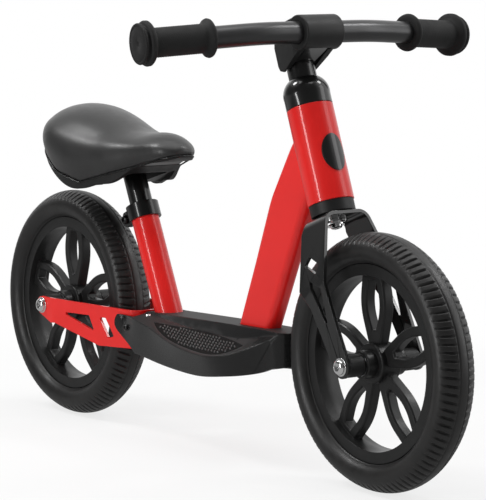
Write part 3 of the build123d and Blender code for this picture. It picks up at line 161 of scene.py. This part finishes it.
# Plug in the beam: rings as (place ahead of the beam's end, growth past its outline)
PLUG_RINGS = (
    (-5 * MM, 0.1 * MM),
    (-4.6 * MM, 0.5 * MM),
    (0.9 * MM, 0.5 * MM),
    (1.5 * MM, -0.1 * MM),
)
PLUG_CORNER = 2 * MM
PLUG_CORNER_STEPS = 5

# Raised bars on the mats
MARK_LENGTH = 4.4 * MM
MARK_WIDTH = 1.4 * MM
MARK_HEIGHT = 0.9 * MM
# Levels of one bar, as shares of its height and of its outline; the lowest is sunk into the mat
MARK_LEVELS = ((-0.4, 1.0), (0.6, 0.95), (1.0, 0.7))
MARK_CORNERS = ((-1, -1), (1, -1), (1, 1), (-1, 1))
MARK_ROW = 3.9 * MM
MARK_STEP = 5.4 * MM
MARK_SLANT = radians(48)
MARK_SLANT_SHARES = (0.55, 1)
MARK_MARGIN = 0.7 * MM
MARK_LEAST_RISE = 0.5

# Stage
FLOOR_HALF = 6.0
FLOOR_COLOUR = (0.9, 0.9, 0.9, 1)
FLOOR_GLOW = 0.4
FLOOR_SHADOW_SHARE = 0.24
SHADOW_FADE = (0.45, 1.0)
WORLD_LIGHT = 0.32
BRIGHT_SIDE = Vector((-0.34, 0.94, 0.0))
BRIGHT_EDGE = (-0.15, 0.5)
DARK_LEVEL = 0.12
# Lamps: name, place, target, width and height, watts
LAMPS = (
    ("top_light", (0.1, -0.1, 2.2), (0, 0, 0.2), (1.8, 1.4), 17),
    ("strip_light", (0.1, -2.2, 0.7), (0.1, 0, 0.3), (0.3, 1.6), 19),
    ("rear_light", (-0.95, -0.9, 1.9), (0.1, 0, 0.4), (0.45, 0.45), 15),
    ("far_light", (0.65, 1.3, 1.9), (0.1, 0, 0.4), (0.45, 0.45), 8),
    ("right_light", (1.5, 1.6, 1.0), (0.1, 0, 0.25), (0.8, 1.6), 7),
)


# Shader helpers
def map_range(tree, source, span, low, high, kind="LINEAR"):
    """Socket that turns a span of a number into the range from low to high."""
    made = tree.nodes.new("ShaderNodeMapRange")
    made.interpolation_type = kind
    made.inputs["From Min"].default_value = span[0]
    made.inputs["From Max"].default_value = span[1]
    made.inputs["To Min"].default_value = low
    made.inputs["To Max"].default_value = high
    tree.links.new(source, made.inputs["Value"])
    return made.outputs["Result"]


def math_of(tree, operation, first, second):
    made = tree.nodes.new("ShaderNodeMath")
    made.operation = operation
    tree.links.new(first, made.inputs[0])
    tree.links.new(second, made.inputs[1])
    return made.outputs[0]


def vector_math(tree, operation, vector):
    made = tree.nodes.new("ShaderNodeVectorMath")
    made.operation = operation
    tree.links.new(vector, made.inputs[0])
    return made


def mixed(tree, share, first, second):
    made = tree.nodes.new("ShaderNodeMixShader")
    tree.links.new(share, made.inputs["Fac"])
    tree.links.new(first, made.inputs[1])
    tree.links.new(second, made.inputs[2])
    return made.outputs[0]


# Materials
class Look:
    """A material under way: its node tree, its shader and short ways to add texture to it."""

    def __init__(self, name, colour, roughness, edge=EDGE_SHADE):
        self.material = bpy.data.materials.new(name)
        self.material.use_nodes = True
        self.tree = self.material.node_tree
        self.shader = self.tree.nodes["Principled BSDF"]
        self.colour = colour
        self.roughness = roughness
        self.set("Base Color", (*colour, 1))
        self.set("Roughness", roughness)
        self.place = self.node("ShaderNodeTexCoord").outputs["Object"]
        self.normal = self.node("ShaderNodeBevel", Radius=edge).outputs["Normal"]

    def set(self, socket, value):
        self.shader.inputs[socket].default_value = value

    def node(self, kind, **values):
        made = self.tree.nodes.new(kind)
        for name, value in values.items():
            made.inputs[name].default_value = value
        return made

    def link(self, source, target):
        self.tree.links.new(source, target)

    def noise(self, size, detail=3.0):
        """Cloudy pattern whose marks are about this size in metres."""
        made = self.node("ShaderNodeTexNoise", Scale=1 / size, Detail=detail)
        self.link(self.place, made.inputs["Vector"])
        return made.outputs["Fac"]

    def cells(self, size):
        """Pebbled pattern whose cells are about this size in metres."""
        made = self.node("ShaderNodeTexVoronoi", Scale=1 / size)
        self.link(self.place, made.inputs["Vector"])
        return made.outputs["Distance"]

    def vary_roughness(self, size, spread):
        low = self.roughness - spread
        high = self.roughness + spread
        varied = map_range(self.tree, self.noise(size), ROUGHNESS_SPAN, low, high)
        self.link(varied, self.shader.inputs["Roughness"])

    def dull_top(self, gloss, dull, span):
        """Let the roughness rise where the surface faces upward."""
        normal = self.node("ShaderNodeNewGeometry").outputs["Normal"]
        parts = self.node("ShaderNodeSeparateXYZ")
        self.link(normal, parts.inputs[0])
        varied = map_range(self.tree, parts.outputs["Z"], span, gloss, dull)
        self.link(varied, self.shader.inputs["Roughness"])

    def vary_colour(self, size, share):
        """Let the colour drift a little lighter and darker."""
        ramp = self.node("ShaderNodeValToRGB")
        for stop, position, level in zip(ramp.color_ramp.elements, COLOUR_SPAN, (1 - share, 1 + share)):
            stop.position = position
            stop.color = (*[c * level for c in self.colour], 1)
        self.link(self.noise(size), ramp.inputs["Fac"])
        self.link(ramp.outputs["Color"], self.shader.inputs["Base Color"])

    def bump(self, source, depth, strength=1.0):
        """Raise the surface by a pattern, over the softened edges."""
        made = self.node("ShaderNodeBump", Strength=strength, Distance=depth)
        self.link(source, made.inputs["Height"])
        self.link(self.normal, made.inputs["Normal"])
        self.link(made.outputs["Normal"], self.shader.inputs["Normal"])


def grey(level):
    return (level, level, level)


def enamel(name, colour, roughness, coat):
    """Sprayed paint under a clear coat, with a faint orange-peel surface."""
    look = Look(name, colour, roughness)
    look.set("Coat Weight", coat)
    look.set("Coat Roughness", 0.04)
    look.set("Specular IOR Level", 0.2)
    look.vary_colour(size=60 * MM, share=0.05)
    look.vary_roughness(size=15 * MM, spread=0.04)
    look.bump(look.noise(size=2.5 * MM, detail=2.0), depth=0.02 * MM)
    return look.material


def moulded(name, colour, roughness, grain):
    """Injection-moulded plastic with a fine spark-eroded grain."""
    look = Look(name, colour, roughness)
    look.set("Specular IOR Level", 0.32)
    look.vary_colour(size=40 * MM, share=0.12)
    look.vary_roughness(size=12 * MM, spread=0.06)
    look.bump(look.noise(size=0.5 * MM, detail=2.0), depth=grain)
    return look.material


def board_moulding(name, colour):
    """Polished plastic whose upward faces are dull, with a very fine grain."""
    look = Look(name, colour, BOARD_GLOSS, edge=BOARD_EDGE_SHADE)
    look.set("Specular IOR Level", 0.4)
    look.vary_colour(size=40 * MM, share=0.12)
    look.dull_top(BOARD_GLOSS, BOARD_DULL, BOARD_TOP_SPAN)
    look.bump(look.noise(size=0.5 * MM, detail=2.0), depth=0.004 * MM)
    return look.material


def satin_metal(name, colour):
    """Anodised tube: grey metal with a fine grain that spreads its highlights."""
    look = Look(name, colour, roughness=0.3)
    look.set("Metallic", 0.8)
    look.vary_colour(size=25 * MM, share=0.06)
    look.vary_roughness(size=6 * MM, spread=0.02)
    look.bump(look.noise(size=0.8 * MM, detail=2.0), depth=0.003 * MM)
    return look.material


def metal(name, colour, roughness, spread):
    """Bare or plated metal, faintly uneven."""
    look = Look(name, colour, roughness, edge=METAL_EDGE_SHADE)
    look.set("Metallic", 1.0)
    look.vary_roughness(size=3 * MM, spread=spread)
    look.bump(look.noise(size=1.2 * MM, detail=2.0), depth=0.01 * MM)
    return look.material


def rubber(name, colour, roughness, gloss):
    """Dull rubber with a dusty bloom and a pitted skin."""
    look = Look(name, colour, roughness)
    look.set("Specular IOR Level", gloss)
    look.vary_colour(size=18 * MM, share=0.22)
    look.vary_roughness(size=9 * MM, spread=0.08)
    look.bump(look.noise(size=0.9 * MM, detail=3.0), depth=0.05 * MM)
    return look.material


def vinyl(name, colour, roughness):
    """Stretched smooth vinyl with a faint leather grain."""
    look = Look(name, colour, roughness)
    look.set("Sheen Weight", 0.08)
    look.vary_colour(size=30 * MM, share=0.1)
    look.vary_roughness(size=10 * MM, spread=0.04)
    look.bump(look.cells(size=1.1 * MM), depth=0.03 * MM, strength=0.6)
    return look.material


LOOKS = {
    "frame_paint": enamel("red_enamel", (0.7, 0.012, 0.01), roughness=0.35, coat=0.5),
    "black_paint": enamel("black_enamel", grey(0.006), roughness=0.33, coat=0.8),
    "post_paint": enamel("post_enamel", grey(0.003), roughness=0.35, coat=0.6),
    "bar_paint": satin_metal("grey_satin", (0.06, 0.06, 0.061)),
    "bright_hardware": metal("bright_plate", grey(0.8), roughness=0.1, spread=0.03),
    "steel": metal("drawn_steel", (0.56, 0.56, 0.57), roughness=0.32, spread=0.08),
    "board_plastic": board_moulding("gloss_board", grey(0.01)),
    "dark_plastic": moulded("matte_plastic", grey(0.01), roughness=0.48, grain=0.04 * MM),
    "wheel_plastic": moulded("wheel_plastic", grey(0.011), roughness=0.37, grain=0.03 * MM),
    "tyre_rubber": rubber("tyre_rubber", (0.0095, 0.009, 0.0088), roughness=0.43, gloss=0.5),
    "grip_rubber": rubber("grip_rubber", grey(0.012), roughness=0.64, gloss=0.25),
    "mat_rubber": rubber("mat_rubber", grey(0.005), roughness=0.7, gloss=0.12),
    # Raised bars on the mats: their lighter grey is a painted highlight, standing in for light caught on the
    # bars' tops
    "mark_rubber": rubber("mark_rubber_painted_highlight", grey(0.085), roughness=0.4, gloss=0.4),
    "saddle_cover": vinyl("saddle_vinyl", grey(0.017), roughness=0.37),
}


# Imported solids
def dress(node, slot):
    """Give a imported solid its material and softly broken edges."""
    piece = NODES[node]
    piece.data.materials.clear()
    piece.data.materials.append(LOOKS[slot])
    if "custom_normal" in piece.data.attributes:
        piece.data.attributes.remove(piece.data.attributes["custom_normal"])
    piece.data.shade_smooth()
    weld = piece.modifiers.new("weld", "WELD")
    weld.merge_threshold = WELD_DISTANCE
    bevel = piece.modifiers.new("round", "BEVEL")
    bevel.width = ROUNDINGS.get(slot, EDGE_ROUNDING)
    bevel.segments = EDGE_SEGMENTS
    bevel.limit_method = "ANGLE"
    bevel.angle_limit = EDGE_ANGLE
    bevel.use_clamp_overlap = True
    bevel.harden_normals = True


def repaint(nodes, look):
    for node in nodes:
        NODES[node].data.materials[0] = LOOKS[look]


for part in frame["record"]["subparts"]:
    dress(part["node"], part["material_slot"])
repaint(POST_NODES, "post_paint")
repaint(MAT_NODES, "mat_rubber")


# Mesh helpers
def add_object(name, data):
    made = bpy.data.objects.new(name, data)
    bpy.context.scene.collection.objects.link(made)
    return made


def new_piece(name, points, faces, body, slot):
    mesh = bpy.data.meshes.new(name)
    mesh.from_pydata(points, [], faces)
    mesh.update()
    mesh.shade_smooth()
    mesh.materials.append(LOOKS[slot])
    piece = add_object(name, mesh)
    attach(piece, body)
    return piece


def ring_faces(rings, around, closed):
    """Quads between rings of points; closed joins the last ring to the first."""
    faces = []
    for i in range(rings if closed else rings - 1):
        here = i * around
        there = (i + 1) % rings * around
        for j in range(around):
            k = (j + 1) % around
            faces.append((here + j, here + k, there + k, there + j))
    return faces


def capped_faces(rings, around):
    """Quads between rings of points, and a face over each end."""
    faces = ring_faces(rings, around, False)
    last = (rings - 1) * around
    faces.append(tuple(reversed(range(around))))
    faces.append(tuple(range(last, last + around)))
    return faces


def arc(start, middle, end, count):
    """Points along the circle through three points of a plane, both ends included."""
    (ax, ay), (bx, by), (cx, cy) = start, middle, end
    d = 2 * (ax * (by - cy) + bx * (cy - ay) + cx * (ay - by))
    a, b, c = ax * ax + ay * ay, bx * bx + by * by, cx * cx + cy * cy
    x = (a * (by - cy) + b * (cy - ay) + c * (ay - by)) / d
    y = (a * (cx - bx) + b * (ax - cx) + c * (bx - ax)) / d
    first = atan2(ay - y, ax - x)
    turn = (atan2(by - y, bx - x) - first + pi) % (2 * pi) - pi
    turn += (atan2(cy - y, cx - x) - atan2(by - y, bx - x) + pi) % (2 * pi) - pi
    radius = hypot(ax - x, ay - y)
    points = []
    for i in range(count):
        angle = first + turn * i / (count - 1)
        points.append((x + radius * cos(angle), y + radius * sin(angle)))
    return points


def surface_of(node):
    """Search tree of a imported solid's faces, for casting rays at it."""
    mesh = NODES[node].data
    return BVHTree.FromPolygons([v.co for v in mesh.vertices], [p.vertices for p in mesh.polygons])


# Tyres
def tyre_profile(outer, half_width):
    """Closed outline of the tyre as (place across, radius), from its right bead to its left one."""
    seat = (TYRE_SEAT_HALF_WIDTH, TYRE_SEAT_RADIUS)
    flank = (half_width, (TYRE_SEAT_RADIUS + outer) / 2)
    shoulder = (TYRE_SHOULDER_HALF_WIDTH, outer - TYRE_SHOULDER_DROP)
    wall = arc(seat, flank, shoulder, TYRE_WALL_POINTS)
    crown = arc(shoulder, (0, outer), (-shoulder[0], shoulder[1]), TYRE_CROWN_POINTS)
    middle = TYRE_CROWN_POINTS // 2
    half = wall + crown[1:middle]
    profile = [(-y, r) for y, r in half] + [crown[middle]] + list(reversed(half))
    bottom = TYRE_SEAT_RADIUS - TYRE_SEAT_DEPTH
    return profile + [(TYRE_SEAT_HALF_WIDTH, bottom), (-TYRE_SEAT_HALF_WIDTH, bottom)]


def groove_share(across):
    """How deep the cross grooves are at a place across the tyre: full on the shoulder, none in the middle."""
    if not GROOVE_INNER < across < GROOVE_OUTER:
        return 0.0
    share = (across - GROOVE_INNER) / (GROOVE_OUTER - GROOVE_INNER)
    return min(1.0, GROOVE_INNER_SLOPE * share, GROOVE_OUTER_SLOPE * (1 - share))


def tread_depth(across, radius, in_groove):
    """Depth of the grooves at a point of the tyre's outline."""
    if radius <= TYRE_SEAT_RADIUS + TREAD_ABOVE_SEAT:
        return 0.0
    depth = GROOVE_DEPTH * groove_share(across) * in_groove
    if abs(across - CENTRE_LINE) < CENTRE_LINE_WIDTH:
        depth += CENTRE_LINE_DEPTH
    return depth


def tyre(name, node, body):
    """Tyre with cross grooves on its shoulders and a fine line each side of its middle."""
    low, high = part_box(node)
    centre = (low + high) / 2
    outer = (high.z - low.z) / 2
    half_width = (high.y - low.y) / 2
    profile = tyre_profile(outer, half_width)
    steps = TREAD_PITCHES * PITCH_STEPS
    points = []
    for step in range(steps):
        place = step % PITCH_STEPS
        in_groove = GROOVE_STEPS[place] if place < len(GROOVE_STEPS) else 0.0
        for y, radius in profile:
            across = abs(y)
            sweep = GROOVE_SWEEP * (across / half_width) ** 2
            angle = 2 * pi * step / steps + sweep
            reach = radius - tread_depth(across, radius, in_groove)
            points.append((centre.x + reach * cos(angle), y, centre.z + reach * sin(angle)))
    faces = ring_faces(steps, len(profile), True)
    made = new_piece(name, points, faces, body, "tyre_rubber")
    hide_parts(node)


tyre("front_tyre_tread", "front_tyre", "front_wheel")
tyre("rear_tyre_tread", "rear_tyre", "rear_wheel")


# Grips
def bar_point(length):
    """Point of the bar's left half at a length from its middle, and the way the bar runs there."""
    turn = min(max(length - BAR_STRAIGHT, 0), BAR_BEND_RADIUS * BAR_BEND) / BAR_BEND_RADIUS
    beyond = max(length - BAR_STRAIGHT - BAR_BEND_RADIUS * BAR_BEND, 0)
    sweep = Vector((-cos(BAR_DROOP), 0, -sin(BAR_DROOP)))
    way = Vector((0, cos(turn), 0)) + sweep * sin(turn)
    bend = Vector((0, sin(turn), 0)) + sweep * (1 - cos(turn))
    start = Vector((BAR_X, min(length, BAR_STRAIGHT), BAR_Z))
    return start + bend * BAR_BEND_RADIUS + way * beyond, way


def grip_rings():
    """Length and radius of each ring of the grip, with close rings along its body."""
    rings = [point for point in GRIP_OUTLINE if point[0] < GRIP_BODY_START]
    body = rings[-1][1]
    steps = GRIP_ROWS * GRIP_ROW_STEPS
    for step in range(steps + 1):
        rings.append((GRIP_BODY_START + (GRIP_BODY_END - GRIP_BODY_START) * step / steps, body))
    return rings + [point for point in GRIP_OUTLINE if point[0] > GRIP_BODY_END]


def grip_pattern(length, angle):
    """Height of the low diamond bumps that cover the grip's body."""
    if not GRIP_BODY_START <= length <= GRIP_BODY_END:
        return 0.0
    along = pi * GRIP_ROWS * (length - GRIP_BODY_START) / (GRIP_BODY_END - GRIP_BODY_START)
    around = GRIP_COLUMNS * angle / 2
    return GRIP_PATTERN_HEIGHT * abs(sin(along + around) * sin(along - around))


def grip(name, node, side):
    """Rubber grip with flanges and a bumpy body; side is 1 on the left and -1 on the right."""
    points = []
    rings = grip_rings()
    for length, radius in rings:
        place, way = bar_point(length * MM)
        turn = way.to_track_quat("Y", "Z")
        for step in range(GRIP_SIDES):
            angle = 2 * pi * step / GRIP_SIDES
            reach = (radius + grip_pattern(length, angle)) * MM
            point = place + turn @ Vector((cos(angle), 0, sin(angle))) * reach
            points.append((point.x, side * point.y, point.z))
    faces = capped_faces(len(rings), GRIP_SIDES)
    if side > 0:
        faces = [tuple(reversed(face)) for face in faces]
    made = new_piece(name, points, faces, "steering", "grip_rubber")
    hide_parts(node)


grip("grip_left_rubber", "grip_left", 1)
grip("grip_right_rubber", "grip_right", -1)


# Saddle
def saddle_cover():
    """Foam pad under stretched vinyl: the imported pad's form, remeshed evenly and smoothed all over."""
    mesh = NODES["saddle_pad"].data.copy()
    mesh.name = "saddle_cover"
    pad = add_object("saddle_cover", mesh)
    remesh = pad.modifiers.new("even", "REMESH")
    remesh.mode = "VOXEL"
    remesh.voxel_size = PAD_VOXEL
    smooth = pad.modifiers.new("smooth", "SMOOTH")
    smooth.factor = PAD_SMOOTH_FACTOR
    smooth.iterations = PAD_SMOOTHING
    fine = pad.modifiers.new("fine", "SUBSURF")
    fine.levels = 1
    fine.render_levels = 1
    graph = bpy.context.evaluated_depsgraph_get()
    pad.data = bpy.data.meshes.new_from_object(pad.evaluated_get(graph))
    pad.modifiers.clear()
    pad.data.materials.clear()
    pad.data.materials.append(LOOKS["saddle_cover"])
    pad.data.shade_smooth()
    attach(pad, "seat")
    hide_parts("saddle_pad")


def seam_height(x):
    """Height of the saddle's seam at a place along the bike."""
    points = [(SADDLE_X + along * MM, SADDLE_Z + up * MM) for along, up in SADDLE_SEAM]
    for (x0, z0), (x1, z1) in zip(points, points[1:]):
        if x0 <= x <= x1:
            return z0 + (z1 - z0) * (x - x0) / (x1 - x0)


def seam_piping():
    """Thin glossy piping that covers the seam all round the saddle."""
    surface = surface_of("saddle_base")
    low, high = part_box("saddle_base")
    right = []
    for step in range(int((high.x - low.x) / PIPING_STEP)):
        x = low.x + (step + 0.5) * PIPING_STEP
        start = Vector((x, 2 * low.y, seam_height(x) - PIPING_RADIUS))
        hit = surface.ray_cast(start, LEFT)[0]
        if hit:
            right.append(hit + Vector((0, 0, PIPING_RADIUS)))
    left = [Vector((point.x, -point.y, point.z)) for point in reversed(right)]
    path = right + left
    points = []
    for i, place in enumerate(path):
        way = (path[(i + 1) % len(path)] - path[i - 1]).normalized()
        aside = way.cross(UP).normalized()
        below = way.cross(aside)
        for step in range(PIPING_SIDES):
            angle = 2 * pi * step / PIPING_SIDES
            points.append(tuple(place + (aside * cos(angle) + below * sin(angle)) * PIPING_RADIUS))
    faces = ring_faces(len(path), PIPING_SIDES, True)
    new_piece("saddle_piping", points, faces, "seat", "board_plastic")


saddle_cover()
seam_piping()


# Beam
def beam_plug():
    """Black cap with a chamfered rim that closes the open front end of the beam."""
    low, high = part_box("base_beam")
    half_height = (high.z - low.z) / 2
    points = []
    for ahead, grow in PLUG_RINGS:
        reach = PLUG_CORNER + grow
        for corner in range(4):
            side = 1 if corner in (0, 3) else -1
            level = 1 if corner in (0, 1) else -1
            y = side * (high.y - PLUG_CORNER)
            z = low.z + half_height + level * (half_height - PLUG_CORNER)
            for step in range(PLUG_CORNER_STEPS):
                angle = (corner + step / (PLUG_CORNER_STEPS - 1)) * pi / 2
                points.append((high.x + ahead, y + reach * cos(angle), z + reach * sin(angle)))
    faces = capped_faces(len(PLUG_RINGS), 4 * PLUG_CORNER_STEPS)
    new_piece("beam_plug", points, faces, "frame", "dark_plastic")


beam_plug()


# Mats
def mark_points(centre, along, aside, normal):
    """Points of one bar with a narrower top, sunk a little into the mat."""
    points = []
    for height, share in MARK_LEVELS:
        for i, j in MARK_CORNERS:
            point = centre + along * (i * share * MARK_LENGTH / 2) + aside * (j * share * MARK_WIDTH / 2)
            points.append(tuple(point + normal * (height * MARK_HEIGHT)))
    return points


def mat_marks(name, node, side):
    """Rows of small raised bars, slanted in turn, over the top of one mat."""
    low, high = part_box(node)
    surface = surface_of(node)
    mark_faces = capped_faces(len(MARK_LEVELS), len(MARK_CORNERS))
    reach = MARK_LENGTH / 2 + MARK_MARGIN
    points = []
    faces = []
    for row in range(ceil((high.y - low.y) / MARK_ROW)):
        for column in range(ceil((high.x - low.x) / MARK_STEP)):
            x = low.x + (column + 0.5 * (row % 2)) * MARK_STEP
            y = low.y + (row + 0.5) * MARK_ROW
            slant = side * MARK_SLANT * MARK_SLANT_SHARES[(row + column) % 2]
            along = Vector((cos(slant), sin(slant), 0))
            aside = Vector((-sin(slant), cos(slant), 0))
            above = Vector((x, y, high.z + MARK_HEIGHT))
            hit, normal = surface.ray_cast(above, DOWN)[:2]
            ways = (along, -along, aside, -aside)
            around = [surface.ray_cast(above + way * reach, DOWN)[0] for way in ways]
            if hit is None or None in around or normal.z < MARK_LEAST_RISE:
                continue
            tilt = UP.rotation_difference(normal)
            faces.extend(tuple(len(points) + corner for corner in face) for face in mark_faces)
            points.extend(mark_points(hit, tilt @ along, tilt @ aside, normal))
    made = new_piece(name, points, faces, "frame", "grip_rubber")
    # The bars take the lighter rubber, whose grey is a painted highlight
    made.data.materials[0] = LOOKS["mark_rubber"]
    made.data.shade_flat()


mat_marks("mat_marks_left", "tread_mat_left", 1)
mat_marks("mat_marks_right", "tread_mat_right", -1)


# Stage
def white_light(tree, kind):
    made = tree.nodes.new(kind)
    made.inputs["Color"].default_value = (1, 1, 1, 1)
    return made


def seen_directly(tree, path):
    """One for rays straight from the camera or through something clear, zero for the others."""
    return math_of(tree, "MAXIMUM", path.outputs["Is Camera Ray"], path.outputs["Is Transmission Ray"])


def mirrored_level(tree, direction):
    """Brightness of the world in gloss: white towards the bright side, dark away from it."""
    unit = vector_math(tree, "NORMALIZE", direction).outputs["Vector"]
    toward = vector_math(tree, "DOT_PRODUCT", unit)
    toward.inputs[1].default_value = BRIGHT_SIDE
    return map_range(tree, toward.outputs["Value"], BRIGHT_EDGE, DARK_LEVEL, 1.0, "SMOOTHSTEP")


def floor_white(tree, place):
    """Share of plain white in the floor: all of it away from the bike, less where its shadow falls."""
    distance = vector_math(tree, "LENGTH", place).outputs["Value"]
    return map_range(tree, distance, SHADOW_FADE, 1 - FLOOR_SHADOW_SHARE, 1.0, "SMOOTHSTEP")


def studio_floor():
    """Pale floor that looks white but for a faint shadow near the bike, and glows softly in gloss."""
    half = FLOOR_HALF
    corners = [(-half, -half, 0), (half, -half, 0), (half, half, 0), (-half, half, 0)]
    mesh = bpy.data.meshes.new("floor")
    mesh.from_pydata(corners, [], [(0, 1, 2, 3)])
    floor = add_object("floor", mesh)
    material = bpy.data.materials.new("floor")
    material.use_nodes = True
    mesh.materials.append(material)
    tree = material.node_tree
    tree.nodes.clear()
    pale = tree.nodes.new("ShaderNodeBsdfDiffuse")
    pale.inputs["Color"].default_value = FLOOR_COLOUR
    white = white_light(tree, "ShaderNodeEmission")
    glow = white_light(tree, "ShaderNodeEmission")
    glow.inputs["Strength"].default_value = FLOOR_GLOW
    place = tree.nodes.new("ShaderNodeTexCoord").outputs["Object"]
    path = tree.nodes.new("ShaderNodeLightPath")
    share = math_of(tree, "MULTIPLY", seen_directly(tree, path), floor_white(tree, place))
    seen = mixed(tree, share, pale.outputs[0], white.outputs[0])
    surface = mixed(tree, path.outputs["Is Glossy Ray"], seen, glow.outputs[0])
    output = tree.nodes.new("ShaderNodeOutputMaterial")
    tree.links.new(surface, output.inputs["Surface"])


def studio_world():
    """White backdrop, an even light on the bike, and a bright and a dark side for gloss to mirror."""
    world = bpy.data.worlds.new("studio")
    bpy.context.scene.world = world
    world.use_nodes = True
    tree = world.node_tree
    tree.nodes.clear()
    light = white_light(tree, "ShaderNodeBackground")
    light.inputs["Strength"].default_value = WORLD_LIGHT
    backdrop = white_light(tree, "ShaderNodeBackground")
    mirrored = white_light(tree, "ShaderNodeBackground")
    direction = tree.nodes.new("ShaderNodeTexCoord").outputs["Generated"]
    tree.links.new(mirrored_level(tree, direction), mirrored.inputs["Strength"])
    path = tree.nodes.new("ShaderNodeLightPath")
    gloss = mixed(tree, path.outputs["Is Glossy Ray"], light.outputs[0], mirrored.outputs[0])
    surface = mixed(tree, seen_directly(tree, path), gloss, backdrop.outputs[0])
    output = tree.nodes.new("ShaderNodeOutputWorld")
    tree.links.new(surface, output.inputs["Surface"])


def softbox(name, place, target, size, power):
    light = bpy.data.lights.new(name, "AREA")
    light.shape = "RECTANGLE"
    light.size, light.size_y = size
    light.energy = power
    lamp = add_object(name, light)
    lamp.location = place
    lamp.rotation_euler = (Vector(target) - Vector(place)).to_track_quat("-Z", "Y").to_euler()


def camera():
    data = bpy.data.cameras.new("camera")
    data.lens = CAMERA_LENS
    data.sensor_width = CAMERA_SENSOR
    data.clip_end = CAMERA_REACH
    made = add_object("camera", data)
    made.location = CAMERA_PLACE
    look = (CAMERA_TARGET - CAMERA_PLACE).to_track_quat("-Z", "Y")
    made.rotation_euler = (look @ Euler((0, 0, CAMERA_ROLL)).to_quaternion()).to_euler()
    bpy.context.scene.camera = made


studio_floor()
studio_world()
for lamp in LAMPS:
    softbox(*lamp)
camera()
bpy.context.scene.view_settings.view_transform = "Standard"
